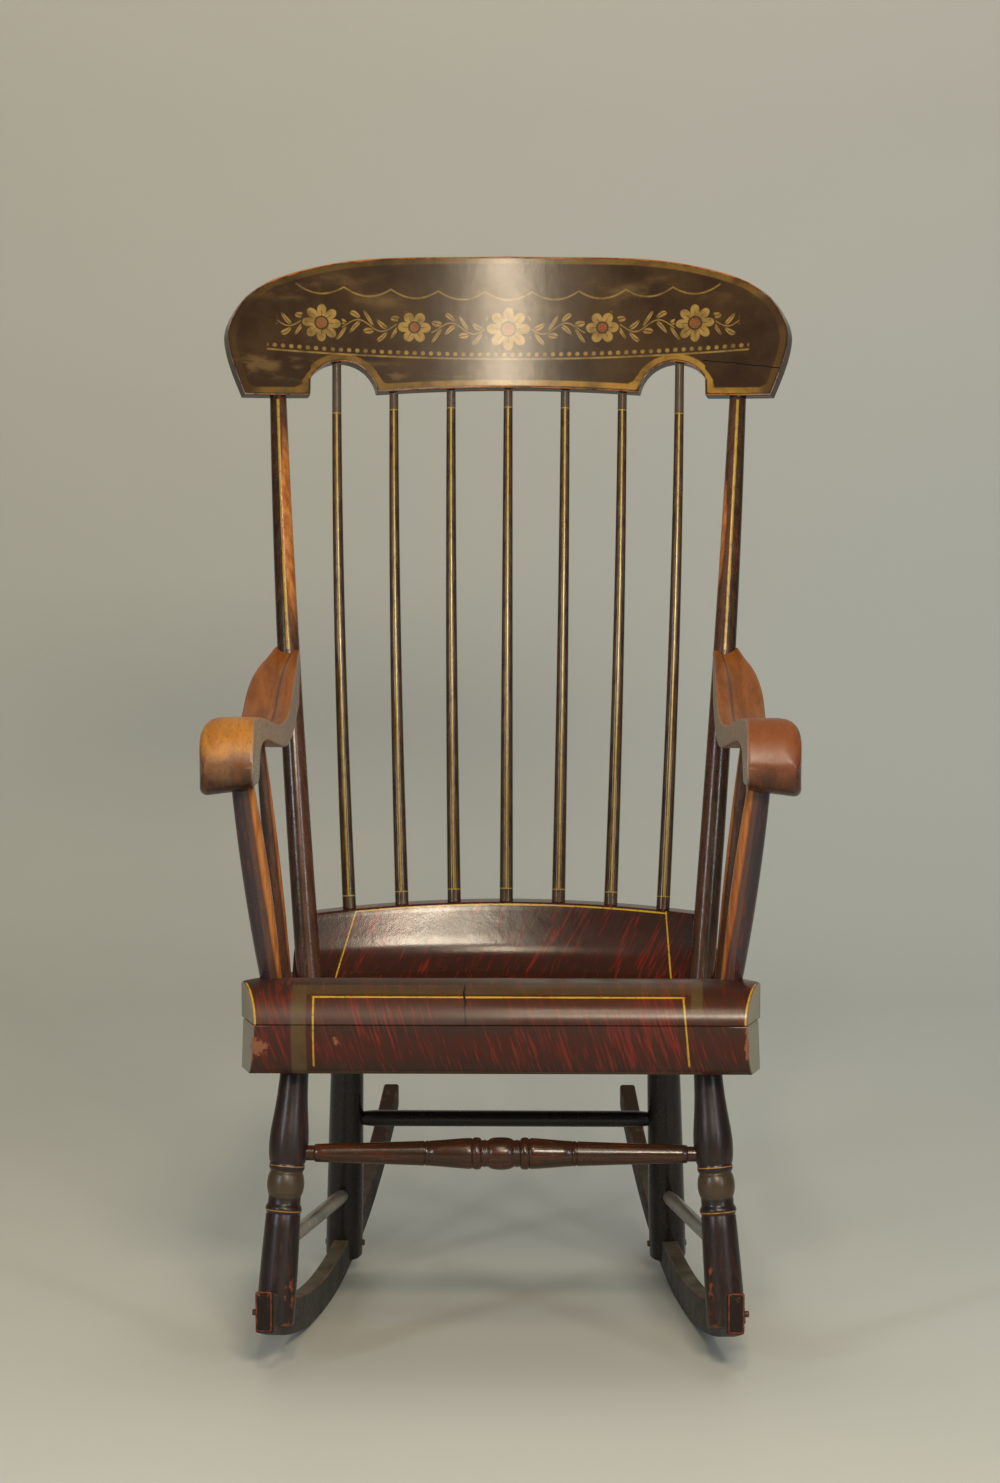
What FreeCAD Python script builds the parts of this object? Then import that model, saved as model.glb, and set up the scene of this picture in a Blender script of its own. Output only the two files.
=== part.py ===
import FreeCAD, Part

import math
import os

from FreeCAD import Vector

# Boston rocking chair of about 1835 to 1845, in millimetres.
# X runs across the chair, to the right as seen from the front. Y runs from front to back and Z up.
# While the chair is built up, Y is 0 at the front tips of the rockers and Z is 0 on the floor.
# At the end everything moves so that the origin is under the middle of the chair's box.

# Overall places
seat_crown_height = 390.0
seat_nose_depth = 15.0
seat_crown_depth = 62.0
seat_rear_drop = 63.0
seat_dish_drop = 39.0
seat_dish_depth = 232.0

# Seat plank
plank_thickness = 37.0
nose_width = 482.0
roll_end_width = 516.0
roll_end_depth = 66.0
waist_width = 490.0
waist_depth = 104.0
waist_cove_depth = 79.0
waist_cove_width = 498.0
rear_width = 466.0
nose_joint_drop = 35.5

# Lower front roll, glued under the plank's front edge
apron_height = 53.0
apron_set_back = 20.0
apron_belly_set_back = 6.0
apron_bottom_thickness = 28.0
apron_top_thickness = 40.0

# Rolled-up riser at the back of the seat, bowed in plan
riser_height = 76.0
riser_thickness = 23.0
riser_lean = 17.0
riser_bow_radius = 812.0
riser_front_depth = 452.0
riser_cove_radius = 45.0
riser_foot_edge = 3.0
riser_base_width = 452.0
riser_top_width = 404.0
riser_crown = 8.0
riser_side_height = 19.0
riser_corner_width = 438.6
riser_corner_height = 49.4
riser_sweep = 40.0

# Crest rail, measured in the plane of its board
crest_lean = 20.0
crest_bow_radius = 925.0
crest_thickness = 16.0
crest_set_back = 140.0
crest_underside_height = 942.5
crest_height = 149.0
crest_width = 614.0
crest_widest_height = 46.0
crest_cheek_width = 604.0
crest_cheek_low_height = 16.0
crest_cheek_top_width = 600.0
crest_cheek_top_height = 70.0
crest_turn_width = 566.0
crest_turn_height = 94.0
crest_shoulder_height = 116.0
crest_shoulder_width = 498.0
crest_brow_width = 373.5
crest_brow_height = 136.0
crest_top_width = 229.0
crest_top_height = 145.6
crest_foot_width = 575.0
crest_foot_drop = 21.0
crest_foot_inner_width = 434.0
crest_arch_inner_width = 288.0
crest_arch_width_at_top = 372.0
crest_arch_rise = 24.0
crest_arch_end_drop = 8.4
crest_foot_inner_drop = 15.8
crest_arch_spring = 2.4

# Back spindles, bent and tapered
spindle_count = 7
spindle_foot_spacing = 56.0
spindle_foot_radius = 7.2
spindle_top_radius = 4.9
spindle_bow = 9.0
spindle_spread = 3.0

# Back stiles
stile_foot_x = 208.0
stile_foot_depth = 387.0
stile_elbow_x = 232.5
stile_elbow_depth = 461.0
stile_elbow_drop = 5.0
stile_top_x = 248.5
stile_top_drop = 18.0
stile_foot_radius = 13.2
stile_elbow_radius = 12.2
stile_top_radius = 9.0

# Arms, each drop measured down from the top of the arm's rear end
arm_front_depth = 11.0
arm_rear_set_back = 9.0
arm_rear_height = 675.0
arm_rear_thickness = 55.0
arm_dip_depth = 190.0
arm_dip_drop = 43.0
arm_low_depth = 255.0
arm_low_drop = 73.0
arm_crown_depth = 58.0
arm_crown_drop = 19.5
arm_roll_drop = 91.0
arm_cove_depth = 104.0
arm_cove_drop = 50.0
arm_cove_front_depth = 85.0
arm_cove_front_drop = 62.5
arm_heel_depth = 78.0
arm_toe_depth = 33.0
arm_nose_drop = 63.0
arm_top_bend_drop = 22.5
arm_top_bend_depth = 327.0
arm_low_bend_depth = 359.5
arm_low_bend_drop = 68.0
arm_rear_rise = 0.2
arm_rear_fall = 0.2
arm_nose_rise = 0.58
arm_inner_x = 220.0
arm_inner_swell_x = 228.0
arm_inner_swell_depth = 152.0
arm_roll_inner_x = 242.0
arm_rear_outer_x = 247.5
arm_shoulder_outer_x = 259.5
arm_shoulder_depth = 394.5
arm_middle_outer_x = 268.5
arm_neck_outer_x = 273.0
arm_neck_depth = 137.0
arm_roll_heel_x = 292.0
arm_roll_heel_depth = 66.0
arm_roll_outer_x = 296.0
arm_front_outer_x = 290.0

# Posts under the arms
post_foot_x = 230.5
post_foot_depth = 92.0
post_top_x = 255.3
post_top_depth = 60.0
post_foot_radius = 11.0
post_middle_radius = 13.5
post_top_radius = 11.5
prop_foot_x = 223.5
prop_foot_depth = 215.0
prop_top_x = 245.0
prop_top_depth = 165.0
prop_foot_radius = 7.0
prop_middle_radius = 8.0
prop_top_radius = 4.6
prop_tenon_length = 17.6

# Front legs, turned
front_leg_top_x = 203.0
front_leg_top_depth = 90.0
front_leg_foot_x = 226.5
front_leg_foot_depth = 46.0
front_leg_foot_height = 43.5
front_leg_neck_radius = 13.8
front_leg_swell_radius = 19.7
front_leg_swell_height = 227.0
front_leg_ring_radius = 17.6
front_leg_upper_ring_height = 200.5
front_leg_ball_radius = 18.5
front_leg_ball_height = 183.0
front_leg_lower_ring_height = 158.0
front_leg_waist_radius = 16.4
front_leg_shank_radius = 17.4
front_leg_foot_radius = 19.3
front_leg_shank_swell = 2.7
front_leg_ring_half = 3.0
front_leg_ring_swell = 0.8
front_leg_ring_step = 0.5
front_leg_groove = 2.5
front_leg_ball_half = 11.0
front_leg_shoulder_height = 261.0
front_leg_shoulder_radius = 16.2
foot_chamfer = 1.5

# Rear legs, plain
rear_leg_top_x = 166.5
rear_leg_top_depth = 374.0
rear_leg_foot_x = 174.5
rear_leg_foot_depth = 430.0
rear_leg_foot_height = 20.5
rear_leg_neck_radius = 15.0
rear_leg_middle_radius = 17.4
rear_leg_foot_radius = 19.6

# Stretchers
front_stretcher_height = 213.5
front_stretcher_collar_radius = 7.6
front_stretcher_end_radius = 9.1
front_stretcher_line_radius = 12.5
front_stretcher_swell_radius = 15.5
front_stretcher_bead_radius = 16.2
front_stretcher_neck_radius = 13.3
front_stretcher_line_x = 76.0
front_stretcher_swell_x = 30.0
front_stretcher_bead_x = 24.0
front_stretcher_bead_width = 9.0
front_stretcher_ball_width = 26.0
front_stretcher_line_width = 1.6
front_stretcher_line_cut = 0.7
front_stretcher_collar_length = 6.0
front_stretcher_edge = 1.5
front_stretcher_bead_shoulder = 0.6
rear_stretcher_height = 177.5
rear_stretcher_radius = 8.7
rear_stretcher_end_radius = 6.6
rear_stretcher_taper = 16.0
side_stretcher_front_height = 121.0
side_stretcher_rear_height = 91.0
side_stretcher_radius = 7.6
side_stretcher_end_radius = 6.3
side_stretcher_taper = 43.0
stretcher_tenon_gap = 2.0

# Rockers, toed in to the rear
rocker_length = 712.0
rocker_front_x = 234.5
rocker_toe_in = 0.142
rocker_thickness = 17.0
rocker_radius = 855.0
rocker_low_depth = 276.5
rocker_front_height = 42.0
rocker_middle_height = 34.0
rocker_rear_height = 27.5
rocker_tip_round = 6.0
rocker_pin_radius = 3.2
rocker_pin_proud = 1.5

# Fits
tenon_length = 22.0
leg_tenon_length = 21.0
crest_tenon_length = 20.0
arm_tenon_radius = 6.5
arm_tenon_length = 11.0
tenon_share = 0.72
fit_clearance = 0.12
crest_pin_radius = 1.8
crest_pin_set_in = 10.0

# Rods are made this much too long at both ends before they are trimmed to their neighbours
bury = 5.0
# A bent rod is made of this many short lengths
rod_lengths = 8

centre = Vector(0, 0, 0)
across = Vector(1, 0, 0)
backward = Vector(0, 1, 0)
upward = Vector(0, 0, 1)


def mirrored(shape):
    return shape.mirror(centre, across)


def both_sides(shape):
    return [shape, mirrored(shape)]


def cut_all(shape, tools):
    for tool in tools:
        shape = shape.cut(tool)
    return shape


def spline(points, first=None, last=None):
    curve = Part.BSplineCurve()
    if first is None:
        curve.interpolate(points)
    else:
        curve.interpolate(Points=points, InitialTangent=first, FinalTangent=last)
    return curve.toShape()


def arc(start, middle, end):
    return Part.Arc(start, middle, end).toShape()


def line(start, end):
    return Part.makeLine(start, end)


def solid_from(edges, direction):
    face = Part.Face(Part.Wire(edges))
    return face.extrude(direction)


def peg(start, direction, radius, length):
    return Part.makeCylinder(radius, length, start, direction)


# A bent rod is a chain of short cones along a curve, and runs on straight past both ends
def bent_rod(points, radii, extra=0.0):
    curve = Part.BSplineCurve()
    curve.interpolate(points)
    first, last = curve.FirstParameter, curve.LastParameter
    start_way = curve.tangent(first)[0]
    end_way = curve.tangent(last)[0]
    stations = [(points[0] - start_way * bury, start_way, radii[0] + extra)]
    steps = rod_lengths
    for step in range(steps + 1):
        share = step / steps
        place = first + (last - first) * share
        radius = blend(radii, share) + extra
        stations.append((curve.value(place), curve.tangent(place)[0], radius))
    stations.append((points[-1] + end_way * bury, end_way, radii[-1] + extra))
    wires = [Part.Wire(Part.makeCircle(r, p, way)) for p, way, r in stations]
    return Part.makeLoft(wires, True, True), -start_way, end_way


# The thickness along a rod is the parabola through its foot, middle and top
def blend(values, share):
    foot, middle, top = values
    bulge = middle - (foot + top) / 2
    return foot + (top - foot) * share + bulge * 4 * share * (1 - share)


# A turned piece is spun from its half outline, which holds pairs of a distance and a radius
def turned(outline_edges, start, end):
    face = Part.Face(Part.Wire(outline_edges))
    solid = face.revolve(centre, upward, 360)
    turn = FreeCAD.Rotation(upward, end - start)
    solid.Placement = FreeCAD.Placement(start, turn)
    return solid


# Seat plank: a board that slopes down to the back, scooped, with its front edge rolled over
seat_rear_height = seat_crown_height - seat_rear_drop
seat_dish_height = seat_crown_height - seat_dish_drop
nose_height = seat_crown_height - nose_joint_drop
riser_axis_depth = riser_front_depth - riser_bow_radius
lean_slope = math.tan(math.radians(riser_lean))
riser_top = seat_rear_height + riser_height
riser_back_top = riser_bow_radius + riser_thickness / math.cos(math.radians(riser_lean))
riser_back_foot = riser_back_top - riser_height * lean_slope
plank_rear_depth = riser_axis_depth + riser_back_foot
apron_back_depth = seat_nose_depth + apron_top_thickness


def side_point(depth, height, x=0.0):
    return Vector(x, depth, height)


def plan_point(x, depth):
    return Vector(x, depth, 0)


def plank_side():
    x = -roll_end_width
    nose = side_point(seat_nose_depth, nose_height, x)
    roll_rise = seat_crown_height - nose_height
    roll_run = seat_crown_depth - seat_nose_depth
    corner = math.sqrt(0.5)
    shoulder = side_point(seat_crown_depth - corner * roll_run, nose_height + corner * roll_rise, x)
    crown = side_point(seat_crown_depth, seat_crown_height, x)
    dish = side_point(seat_dish_depth, seat_dish_height, x)
    flat_depth = riser_axis_depth + riser_bow_radius - riser_height
    flat = side_point(flat_depth, seat_rear_height, x)
    rear = side_point(plank_rear_depth, seat_rear_height, x)
    rear_low = side_point(plank_rear_depth, seat_rear_height - plank_thickness, x)
    under = side_point(apron_back_depth, nose_height, x)
    edges = [
        arc(nose, shoulder, crown),
        spline([crown, dish, flat], backward, backward),
        line(flat, rear),
        line(rear, rear_low),
        line(rear_low, under),
        line(under, nose),
    ]
    return solid_from(edges, Vector(2 * roll_end_width, 0, 0))


def seat_plan():
    base = seat_rear_height - plank_thickness - apron_height
    nose_x = nose_width / 2
    end_x = roll_end_width / 2
    waist_x = waist_width / 2
    rear_x = rear_width / 2
    cove = (waist_cove_width / 2, waist_cove_depth)
    rear_side = riser_axis_depth + math.sqrt(riser_back_foot ** 2 - rear_x ** 2)
    half = [
        (line, (nose_x, seat_nose_depth), (end_x, roll_end_depth)),
        (arc, (end_x, roll_end_depth), cove, (waist_x, waist_depth)),
        (line, (waist_x, waist_depth), (rear_x, rear_side)),
    ]
    edges = [line(plan_point(-nose_x, seat_nose_depth), plan_point(nose_x, seat_nose_depth))]
    for make, *places in half:
        edges.append(make(*[plan_point(x, depth) for x, depth in places]))
    rear_middle = plan_point(0, plank_rear_depth)
    edges.append(arc(plan_point(rear_x, rear_side), rear_middle, plan_point(-rear_x, rear_side)))
    for make, *places in reversed(half):
        edges.append(make(*[plan_point(-x, depth) for x, depth in reversed(places)]))
    solid = solid_from(edges, upward * seat_crown_height * 2)
    solid.translate(Vector(0, 0, base - seat_crown_height))
    return solid


plan = seat_plan()
plank_blank = plank_side().common(plan)


# Lower roll: a curved strip under the plank's front edge that turns back under the nose
def apron_side():
    x = -roll_end_width
    foot = nose_height - apron_height
    nose = side_point(seat_nose_depth, nose_height, x)
    belly = side_point(seat_nose_depth + apron_belly_set_back, nose_height - apron_height / 2, x)
    toe = side_point(seat_nose_depth + apron_set_back, foot, x)
    heel = side_point(toe.y + apron_bottom_thickness, foot, x)
    back = side_point(apron_back_depth, nose_height, x)
    edges = [arc(nose, belly, toe), line(toe, heel), line(heel, back), line(back, nose)]
    return solid_from(edges, Vector(2 * roll_end_width, 0, 0))


apron = apron_side().common(plan)


# Riser: a bowed strip glued on the back of the plank, coved in front and rounded at its ends
def riser_shape():
    foot = seat_rear_height
    cove_foot = foot + riser_foot_edge
    lean = math.radians(riser_lean)
    cove_top = cove_foot + riser_cove_radius * (1 - math.sin(lean))
    front_cove = riser_bow_radius - (riser_top - cove_top) * lean_slope
    cove_centre = Vector(front_cove - riser_cove_radius * math.cos(lean), 0, cove_foot + riser_cove_radius)
    half_turn = math.radians(45)
    cove_middle = cove_centre + Vector(math.sin(half_turn), 0, -math.cos(half_turn)) * riser_cove_radius
    cove_start = Vector(cove_centre.x, 0, cove_foot)
    cove_end = Vector(front_cove, 0, cove_top)
    front_top = Vector(riser_bow_radius, 0, riser_top)
    back_top = Vector(riser_back_top, 0, riser_top)
    back_foot = Vector(riser_back_foot, 0, foot)
    front_foot = Vector(cove_centre.x, 0, foot)
    edges = [
        arc(cove_start, cove_middle, cove_end),
        line(cove_end, front_top),
        line(front_top, back_top),
        line(back_top, back_foot),
        line(back_foot, front_foot),
        line(front_foot, cove_start),
    ]
    ring = Part.Face(Part.Wire(edges)).revolve(centre, upward, riser_sweep)
    ring.rotate(centre, upward, 90 - riser_sweep / 2)
    ring.translate(Vector(0, riser_axis_depth, 0))
    base_x = riser_base_width / 2
    top_x = riser_top_width / 2
    corner_height = riser_top - riser_crown
    side_height = foot + riser_side_height
    corner_x = riser_corner_width / 2
    corner_middle = foot + riser_corner_height

    def front_point(x, height):
        return Vector(x, riser_axis_depth, height)

    face_edges = [
        line(front_point(-base_x, foot), front_point(base_x, foot)),
        line(front_point(base_x, foot), front_point(base_x, side_height)),
        arc(
            front_point(base_x, side_height),
            front_point(corner_x, corner_middle),
            front_point(top_x, corner_height),
        ),
        arc(
            front_point(top_x, corner_height),
            front_point(0, riser_top),
            front_point(-top_x, corner_height),
        ),
        arc(
            front_point(-top_x, corner_height),
            front_point(-corner_x, corner_middle),
            front_point(-base_x, side_height),
        ),
        line(front_point(-base_x, side_height), front_point(-base_x, foot)),
    ]
    return ring.common(solid_from(face_edges, backward * 2 * riser_bow_radius))


riser_blank = riser_shape().cut(plank_blank)


# Crest rail: a board bent to a bow, leaning back, cut away over the outer spindles
crest_turn = math.radians(crest_lean)
crest_up = Vector(0, math.sin(crest_turn), math.cos(crest_turn))
crest_front = Vector(0, -math.cos(crest_turn), math.sin(crest_turn))
crest_depth = stile_elbow_depth + crest_set_back
crest_origin = Vector(0, crest_depth, crest_underside_height)


def crest_bow(x):
    return crest_bow_radius - math.sqrt(crest_bow_radius ** 2 - x ** 2)


def on_crest(x, height, forward=0.0):
    return crest_origin + across * x + crest_up * height + crest_front * forward


def crest_outline():
    foot_x = crest_foot_width / 2
    inner_x = crest_foot_inner_width / 2
    arch_x = crest_arch_inner_width / 2
    foot = -crest_foot_drop
    side = [
        (foot_x, foot),
        (crest_cheek_width / 2, crest_cheek_low_height),
        (crest_width / 2, crest_widest_height),
        (crest_cheek_top_width / 2, crest_cheek_top_height),
        (crest_turn_width / 2, crest_turn_height),
        (crest_shoulder_width / 2, crest_shoulder_height),
        (crest_brow_width / 2, crest_brow_height),
        (crest_top_width / 2, crest_top_height),
        (0, crest_height),
    ]
    back = -crest_bow_radius
    top = [on_crest(x, height, back) for x, height in side]
    top += [on_crest(-x, height, back) for x, height in reversed(side[:-1])]
    edges = [spline(top)]

    def half(sign):
        corner = on_crest(sign * foot_x, foot, back)
        inner = on_crest(sign * inner_x, -crest_foot_inner_drop, back)
        spring = on_crest(sign * inner_x, crest_arch_spring, back)
        crown = on_crest(sign * crest_arch_width_at_top / 2, crest_arch_rise, back)
        end = on_crest(sign * arch_x, -crest_arch_end_drop, back)
        return [line(corner, inner), line(inner, spring), arc(spring, crown, end)]

    ends = [on_crest(sign * arch_x, -crest_arch_end_drop, back) for sign in (-1, 1)]
    edges += half(-1) + [arc(ends[0], on_crest(0, 0, back), ends[1])]
    edges += half(1)
    return solid_from(edges, crest_front * 2 * crest_bow_radius)


def bowed_board(thickness):
    outer = crest_bow_radius + thickness / 2
    inner = crest_bow_radius - thickness / 2
    tall = crest_height * 2
    foot = on_crest(0, -crest_height / 2, crest_bow_radius)
    shell = Part.makeCylinder(outer, tall, foot, crest_up)
    shell = shell.cut(Part.makeCylinder(inner, tall, foot, crest_up))
    half_space = Part.makeBox(3 * outer, outer, 3 * outer)
    half_space.translate(Vector(-1.5 * outer, crest_depth - outer / 2, -outer / 2))
    return shell.common(half_space)


crest_face = crest_outline()
crest_blank = crest_face.common(bowed_board(crest_thickness))
crest_trim = crest_face.common(bowed_board(crest_thickness * 3))


# Back stiles: each is bent at the elbow, where the arm meets it
def stile_points():
    bow = crest_bow(stile_top_x)
    foot = Vector(stile_foot_x, stile_foot_depth, seat_rear_height)
    elbow = Vector(stile_elbow_x, stile_elbow_depth, arm_rear_height - stile_elbow_drop)
    top = on_crest(stile_top_x, -stile_top_drop, bow)
    return [foot, elbow, top]


stile_radii = (stile_foot_radius, stile_elbow_radius, stile_top_radius)
stile_body, stile_down, stile_up = bent_rod(stile_points(), stile_radii)
stile_hole = bent_rod(stile_points(), stile_radii, fit_clearance)[0]


def tenon_pair(foot, foot_way, foot_radius, top, top_way, top_radius, length, top_length):
    pegs = []
    holes = []
    for place, way, radius, long in (
        (foot, foot_way, foot_radius, length),
        (top, top_way, top_radius, top_length),
    ):
        start = place - way * bury
        pegs.append(peg(start, way, radius, long + bury))
        holes.append(peg(start, way, radius + fit_clearance, long + bury + fit_clearance))
    return pegs, holes


def with_pegs(body, pegs):
    for one in pegs:
        body = body.fuse(one)
    return body.removeSplitter()


stile_pegs, stile_sockets = tenon_pair(
    stile_points()[0], stile_down, stile_foot_radius * tenon_share,
    stile_points()[-1], stile_up, stile_top_radius * tenon_share,
    tenon_length, crest_tenon_length,
)
right_stile = with_pegs(stile_body.cut(plank_blank).cut(crest_trim), stile_pegs)


# Back spindles: bent slightly forward in the middle, thick at the foot and thin at the top
spindle_top_spacing = crest_arch_width_at_top / (spindle_count - 1)


def spindle_places(number):
    count = number - (spindle_count - 1) / 2
    foot_x = count * spindle_foot_spacing
    top_x = count * spindle_top_spacing
    foot_radius = riser_bow_radius + riser_thickness / 2 / math.cos(math.radians(riser_lean))
    foot_depth = riser_axis_depth + math.sqrt(foot_radius ** 2 - foot_x ** 2)
    foot_height = riser_top - riser_crown * (foot_x / (riser_top_width / 2)) ** 2
    top_height = crest_arch_rise
    if abs(top_x) < crest_arch_inner_width / 2:
        top_height = -crest_arch_end_drop * (2 * top_x / crest_arch_inner_width) ** 2
    foot = Vector(foot_x, foot_depth, foot_height)
    top = on_crest(top_x, top_height, crest_bow(top_x))
    spread = spindle_spread * 2 * count / (spindle_count - 1)
    middle = (foot + top) / 2 + across * spread - backward * spindle_bow
    return [foot, middle, top]


spindle_radii = (spindle_foot_radius, (spindle_foot_radius + spindle_top_radius) / 2, spindle_top_radius)
spindles = []
spindle_feet = []
spindle_tops = []
for number in range(spindle_count):
    places = spindle_places(number)
    body, down, up = bent_rod(places, spindle_radii)
    pegs, holes = tenon_pair(
        places[0], down, spindle_foot_radius * tenon_share,
        places[-1], up, spindle_top_radius * tenon_share,
        tenon_length, crest_tenon_length,
    )
    spindles.append(with_pegs(body.cut(riser_blank).cut(crest_trim), pegs))
    spindle_feet.append(holes[0])
    spindle_tops.append(holes[1])


# Arms: sawn to an S in side view and to a curve in plan, with a rolled hand-hold in front
arm_rear_depth = stile_elbow_depth - arm_rear_set_back


def arm_point(depth, drop):
    return side_point(depth, arm_rear_height - drop)


def arm_side():
    crown = arm_point(arm_crown_depth, arm_crown_drop)
    dip = arm_point(arm_dip_depth, arm_dip_drop)
    slope_front = (crown + dip) / 2
    slope_rear = arm_point(arm_top_bend_depth, arm_top_bend_drop)
    rear_top = arm_point(arm_rear_depth, 0)
    rear_bottom = arm_point(arm_rear_depth, arm_rear_thickness)
    low_rear = arm_point(arm_low_bend_depth, arm_low_bend_drop)
    low = arm_point(arm_low_depth, arm_low_drop)
    cove = arm_point(arm_cove_depth, arm_cove_drop)
    cove_front = arm_point(arm_cove_front_depth, arm_cove_front_drop)
    heel = arm_point(arm_heel_depth, arm_roll_drop)
    toe = arm_point(arm_toe_depth, arm_roll_drop)
    nose = arm_point(arm_front_depth, arm_nose_drop)
    rear_rise = backward + upward * arm_rear_rise
    rear_fall = -backward - upward * arm_rear_fall
    edges = [
        spline([crown, slope_front, dip, slope_rear, rear_top], backward, rear_rise),
        line(rear_top, rear_bottom),
        spline([rear_bottom, low_rear, low, cove], rear_fall, -backward),
        arc(cove, cove_front, heel),
        line(heel, toe),
        spline([toe, nose, crown], -backward + upward * arm_nose_rise, backward),
    ]
    return solid_from(edges, across * arm_roll_outer_x * 2)


def arm_plan():
    front = arm_front_depth
    rear = arm_rear_depth
    middle = (front + rear) / 2
    inner = [
        plan_point(arm_inner_x, rear),
        plan_point(arm_inner_x, middle),
        plan_point(arm_inner_swell_x, arm_inner_swell_depth),
        plan_point(arm_roll_inner_x, arm_crown_depth),
        plan_point(arm_roll_inner_x, front),
    ]
    outer = [
        plan_point(arm_front_outer_x, front),
        plan_point(arm_roll_outer_x, arm_toe_depth),
        plan_point(arm_roll_heel_x, arm_roll_heel_depth),
        plan_point(arm_neck_outer_x, arm_neck_depth),
        plan_point(arm_middle_outer_x, middle),
        plan_point(arm_shoulder_outer_x, arm_shoulder_depth),
        plan_point(arm_rear_outer_x, rear),
    ]
    edges = [spline(inner), line(inner[-1], outer[0]), spline(outer), line(outer[-1], inner[0])]
    return solid_from(edges, upward * arm_rear_height * 2)


arm_blank = arm_side().common(arm_plan())
arm_shape = arm_blank.cut(stile_body)
arm_seat_height = arm_rear_height - arm_rear_thickness / 2
arm_seat = Vector(stile_elbow_x, stile_elbow_depth - stile_elbow_radius, arm_seat_height)
arm_peg_start = arm_seat - backward * 2 * bury
arm_peg_length = arm_tenon_length + 2 * bury
arm_peg = peg(arm_peg_start, backward, arm_tenon_radius, arm_peg_length)
arm_socket = peg(arm_peg_start, backward, arm_tenon_radius + fit_clearance, arm_peg_length + fit_clearance)
right_stile = right_stile.cut(arm_socket)


# Straight rods between the seat and the arm: the thick post in front and the thin prop behind it
def seat_top(depth):
    run = plank_rear_depth - seat_crown_depth
    share = (depth - seat_crown_depth) / run
    straight = seat_crown_height + (seat_rear_height - seat_crown_height) * share
    dish = (seat_crown_height + seat_rear_height) / 2 - seat_dish_height
    return straight - dish * 4 * share * (1 - share)


def arm_underside(depth):
    share = (depth - arm_cove_depth) / (arm_low_depth - arm_cove_depth)
    return arm_rear_height - arm_cove_drop - (arm_low_drop - arm_cove_drop) * share


def prop_rod(foot, top, radii):
    middle = (foot + top) / 2
    body, down, up = bent_rod([foot, middle, top], radii)
    pegs, holes = tenon_pair(
        foot, down, radii[0] * tenon_share, top, up, radii[2] * tenon_share,
        prop_tenon_length, prop_tenon_length,
    )
    return with_pegs(body.cut(plank_blank).cut(arm_blank), pegs), holes


post_foot = Vector(post_foot_x, post_foot_depth, seat_top(post_foot_depth))
post_top = Vector(post_top_x, post_top_depth, arm_rear_height - arm_roll_drop)
post_radii = (post_foot_radius, post_middle_radius, post_top_radius)
right_post, post_holes = prop_rod(post_foot, post_top, post_radii)
prop_foot = Vector(prop_foot_x, prop_foot_depth, seat_top(prop_foot_depth))
prop_top = Vector(prop_top_x, prop_top_depth, arm_underside(prop_top_depth))
prop_radii = (prop_foot_radius, prop_middle_radius, prop_top_radius)
right_prop, prop_holes = prop_rod(prop_foot, prop_top, prop_radii)
right_arm = with_pegs(cut_all(arm_shape, [post_holes[1], prop_holes[1]]), [arm_peg])


# Rockers: sawn to a true arc below, tapering to the rear, toed in and standing on edge
toe_turn = math.atan(rocker_toe_in)
toe_cos = math.cos(toe_turn)
rocker_way = Vector(-math.sin(toe_turn), toe_cos, 0)
rocker_side_way = Vector(toe_cos, math.sin(toe_turn), 0)


def rocker_centre(depth, height=0.0):
    return Vector(rocker_front_x - rocker_toe_in * depth, depth, height)


def rocker_underside(depth):
    run = (depth - rocker_low_depth) / toe_cos
    return rocker_radius - math.sqrt(rocker_radius ** 2 - run ** 2)


def rocker_solid(thickness):
    start = rocker_centre(0) - rocker_side_way * thickness / 2
    length = rocker_length / toe_cos

    def edge_point(depth, height):
        return start + rocker_way * (depth / toe_cos) + upward * height

    rear_depth = rocker_length - rocker_tip_round
    front_low = edge_point(0, rocker_underside(0))
    lowest = edge_point(rocker_low_depth, 0)
    rear_low = edge_point(rear_depth, rocker_underside(rear_depth))
    rear_end = edge_point(rocker_length, rocker_underside(rocker_length) + rocker_tip_round)
    rear_top = edge_point(rocker_length, rocker_underside(rocker_length) + rocker_rear_height)
    middle_top = edge_point(rocker_low_depth, rocker_middle_height)
    front_top = edge_point(0, rocker_underside(0) + rocker_front_height)
    edges = [
        arc(front_low, lowest, rear_low),
        line(rear_low, rear_end),
        line(rear_end, rear_top),
        arc(rear_top, middle_top, front_top),
        line(front_top, front_low),
    ]
    return solid_from(edges, rocker_side_way * thickness)


rocker_blank = rocker_solid(rocker_thickness)
rocker_slot = rocker_solid(rocker_thickness + 2 * fit_clearance)


# Legs are turned about the line from the foot, astride the rocker, up into the plank
def plank_underside(depth):
    share = (depth - apron_back_depth) / (plank_rear_depth - apron_back_depth)
    return nose_height + (seat_rear_height - plank_thickness - nose_height) * share


front_leg_top = Vector(front_leg_top_x, front_leg_top_depth, plank_underside(front_leg_top_depth))
front_leg_foot = Vector(front_leg_foot_x, front_leg_foot_depth, front_leg_foot_height)
rear_leg_top = Vector(rear_leg_top_x, rear_leg_top_depth, plank_underside(rear_leg_top_depth))
rear_leg_foot = Vector(rear_leg_foot_x, rear_leg_foot_depth, rear_leg_foot_height)


def along(foot, top, height):
    return (top - foot).Length * (height - foot.z) / (top.z - foot.z)


def leg_point(foot, top, height):
    return foot + (top - foot) * ((height - foot.z) / (top.z - foot.z))


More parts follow.
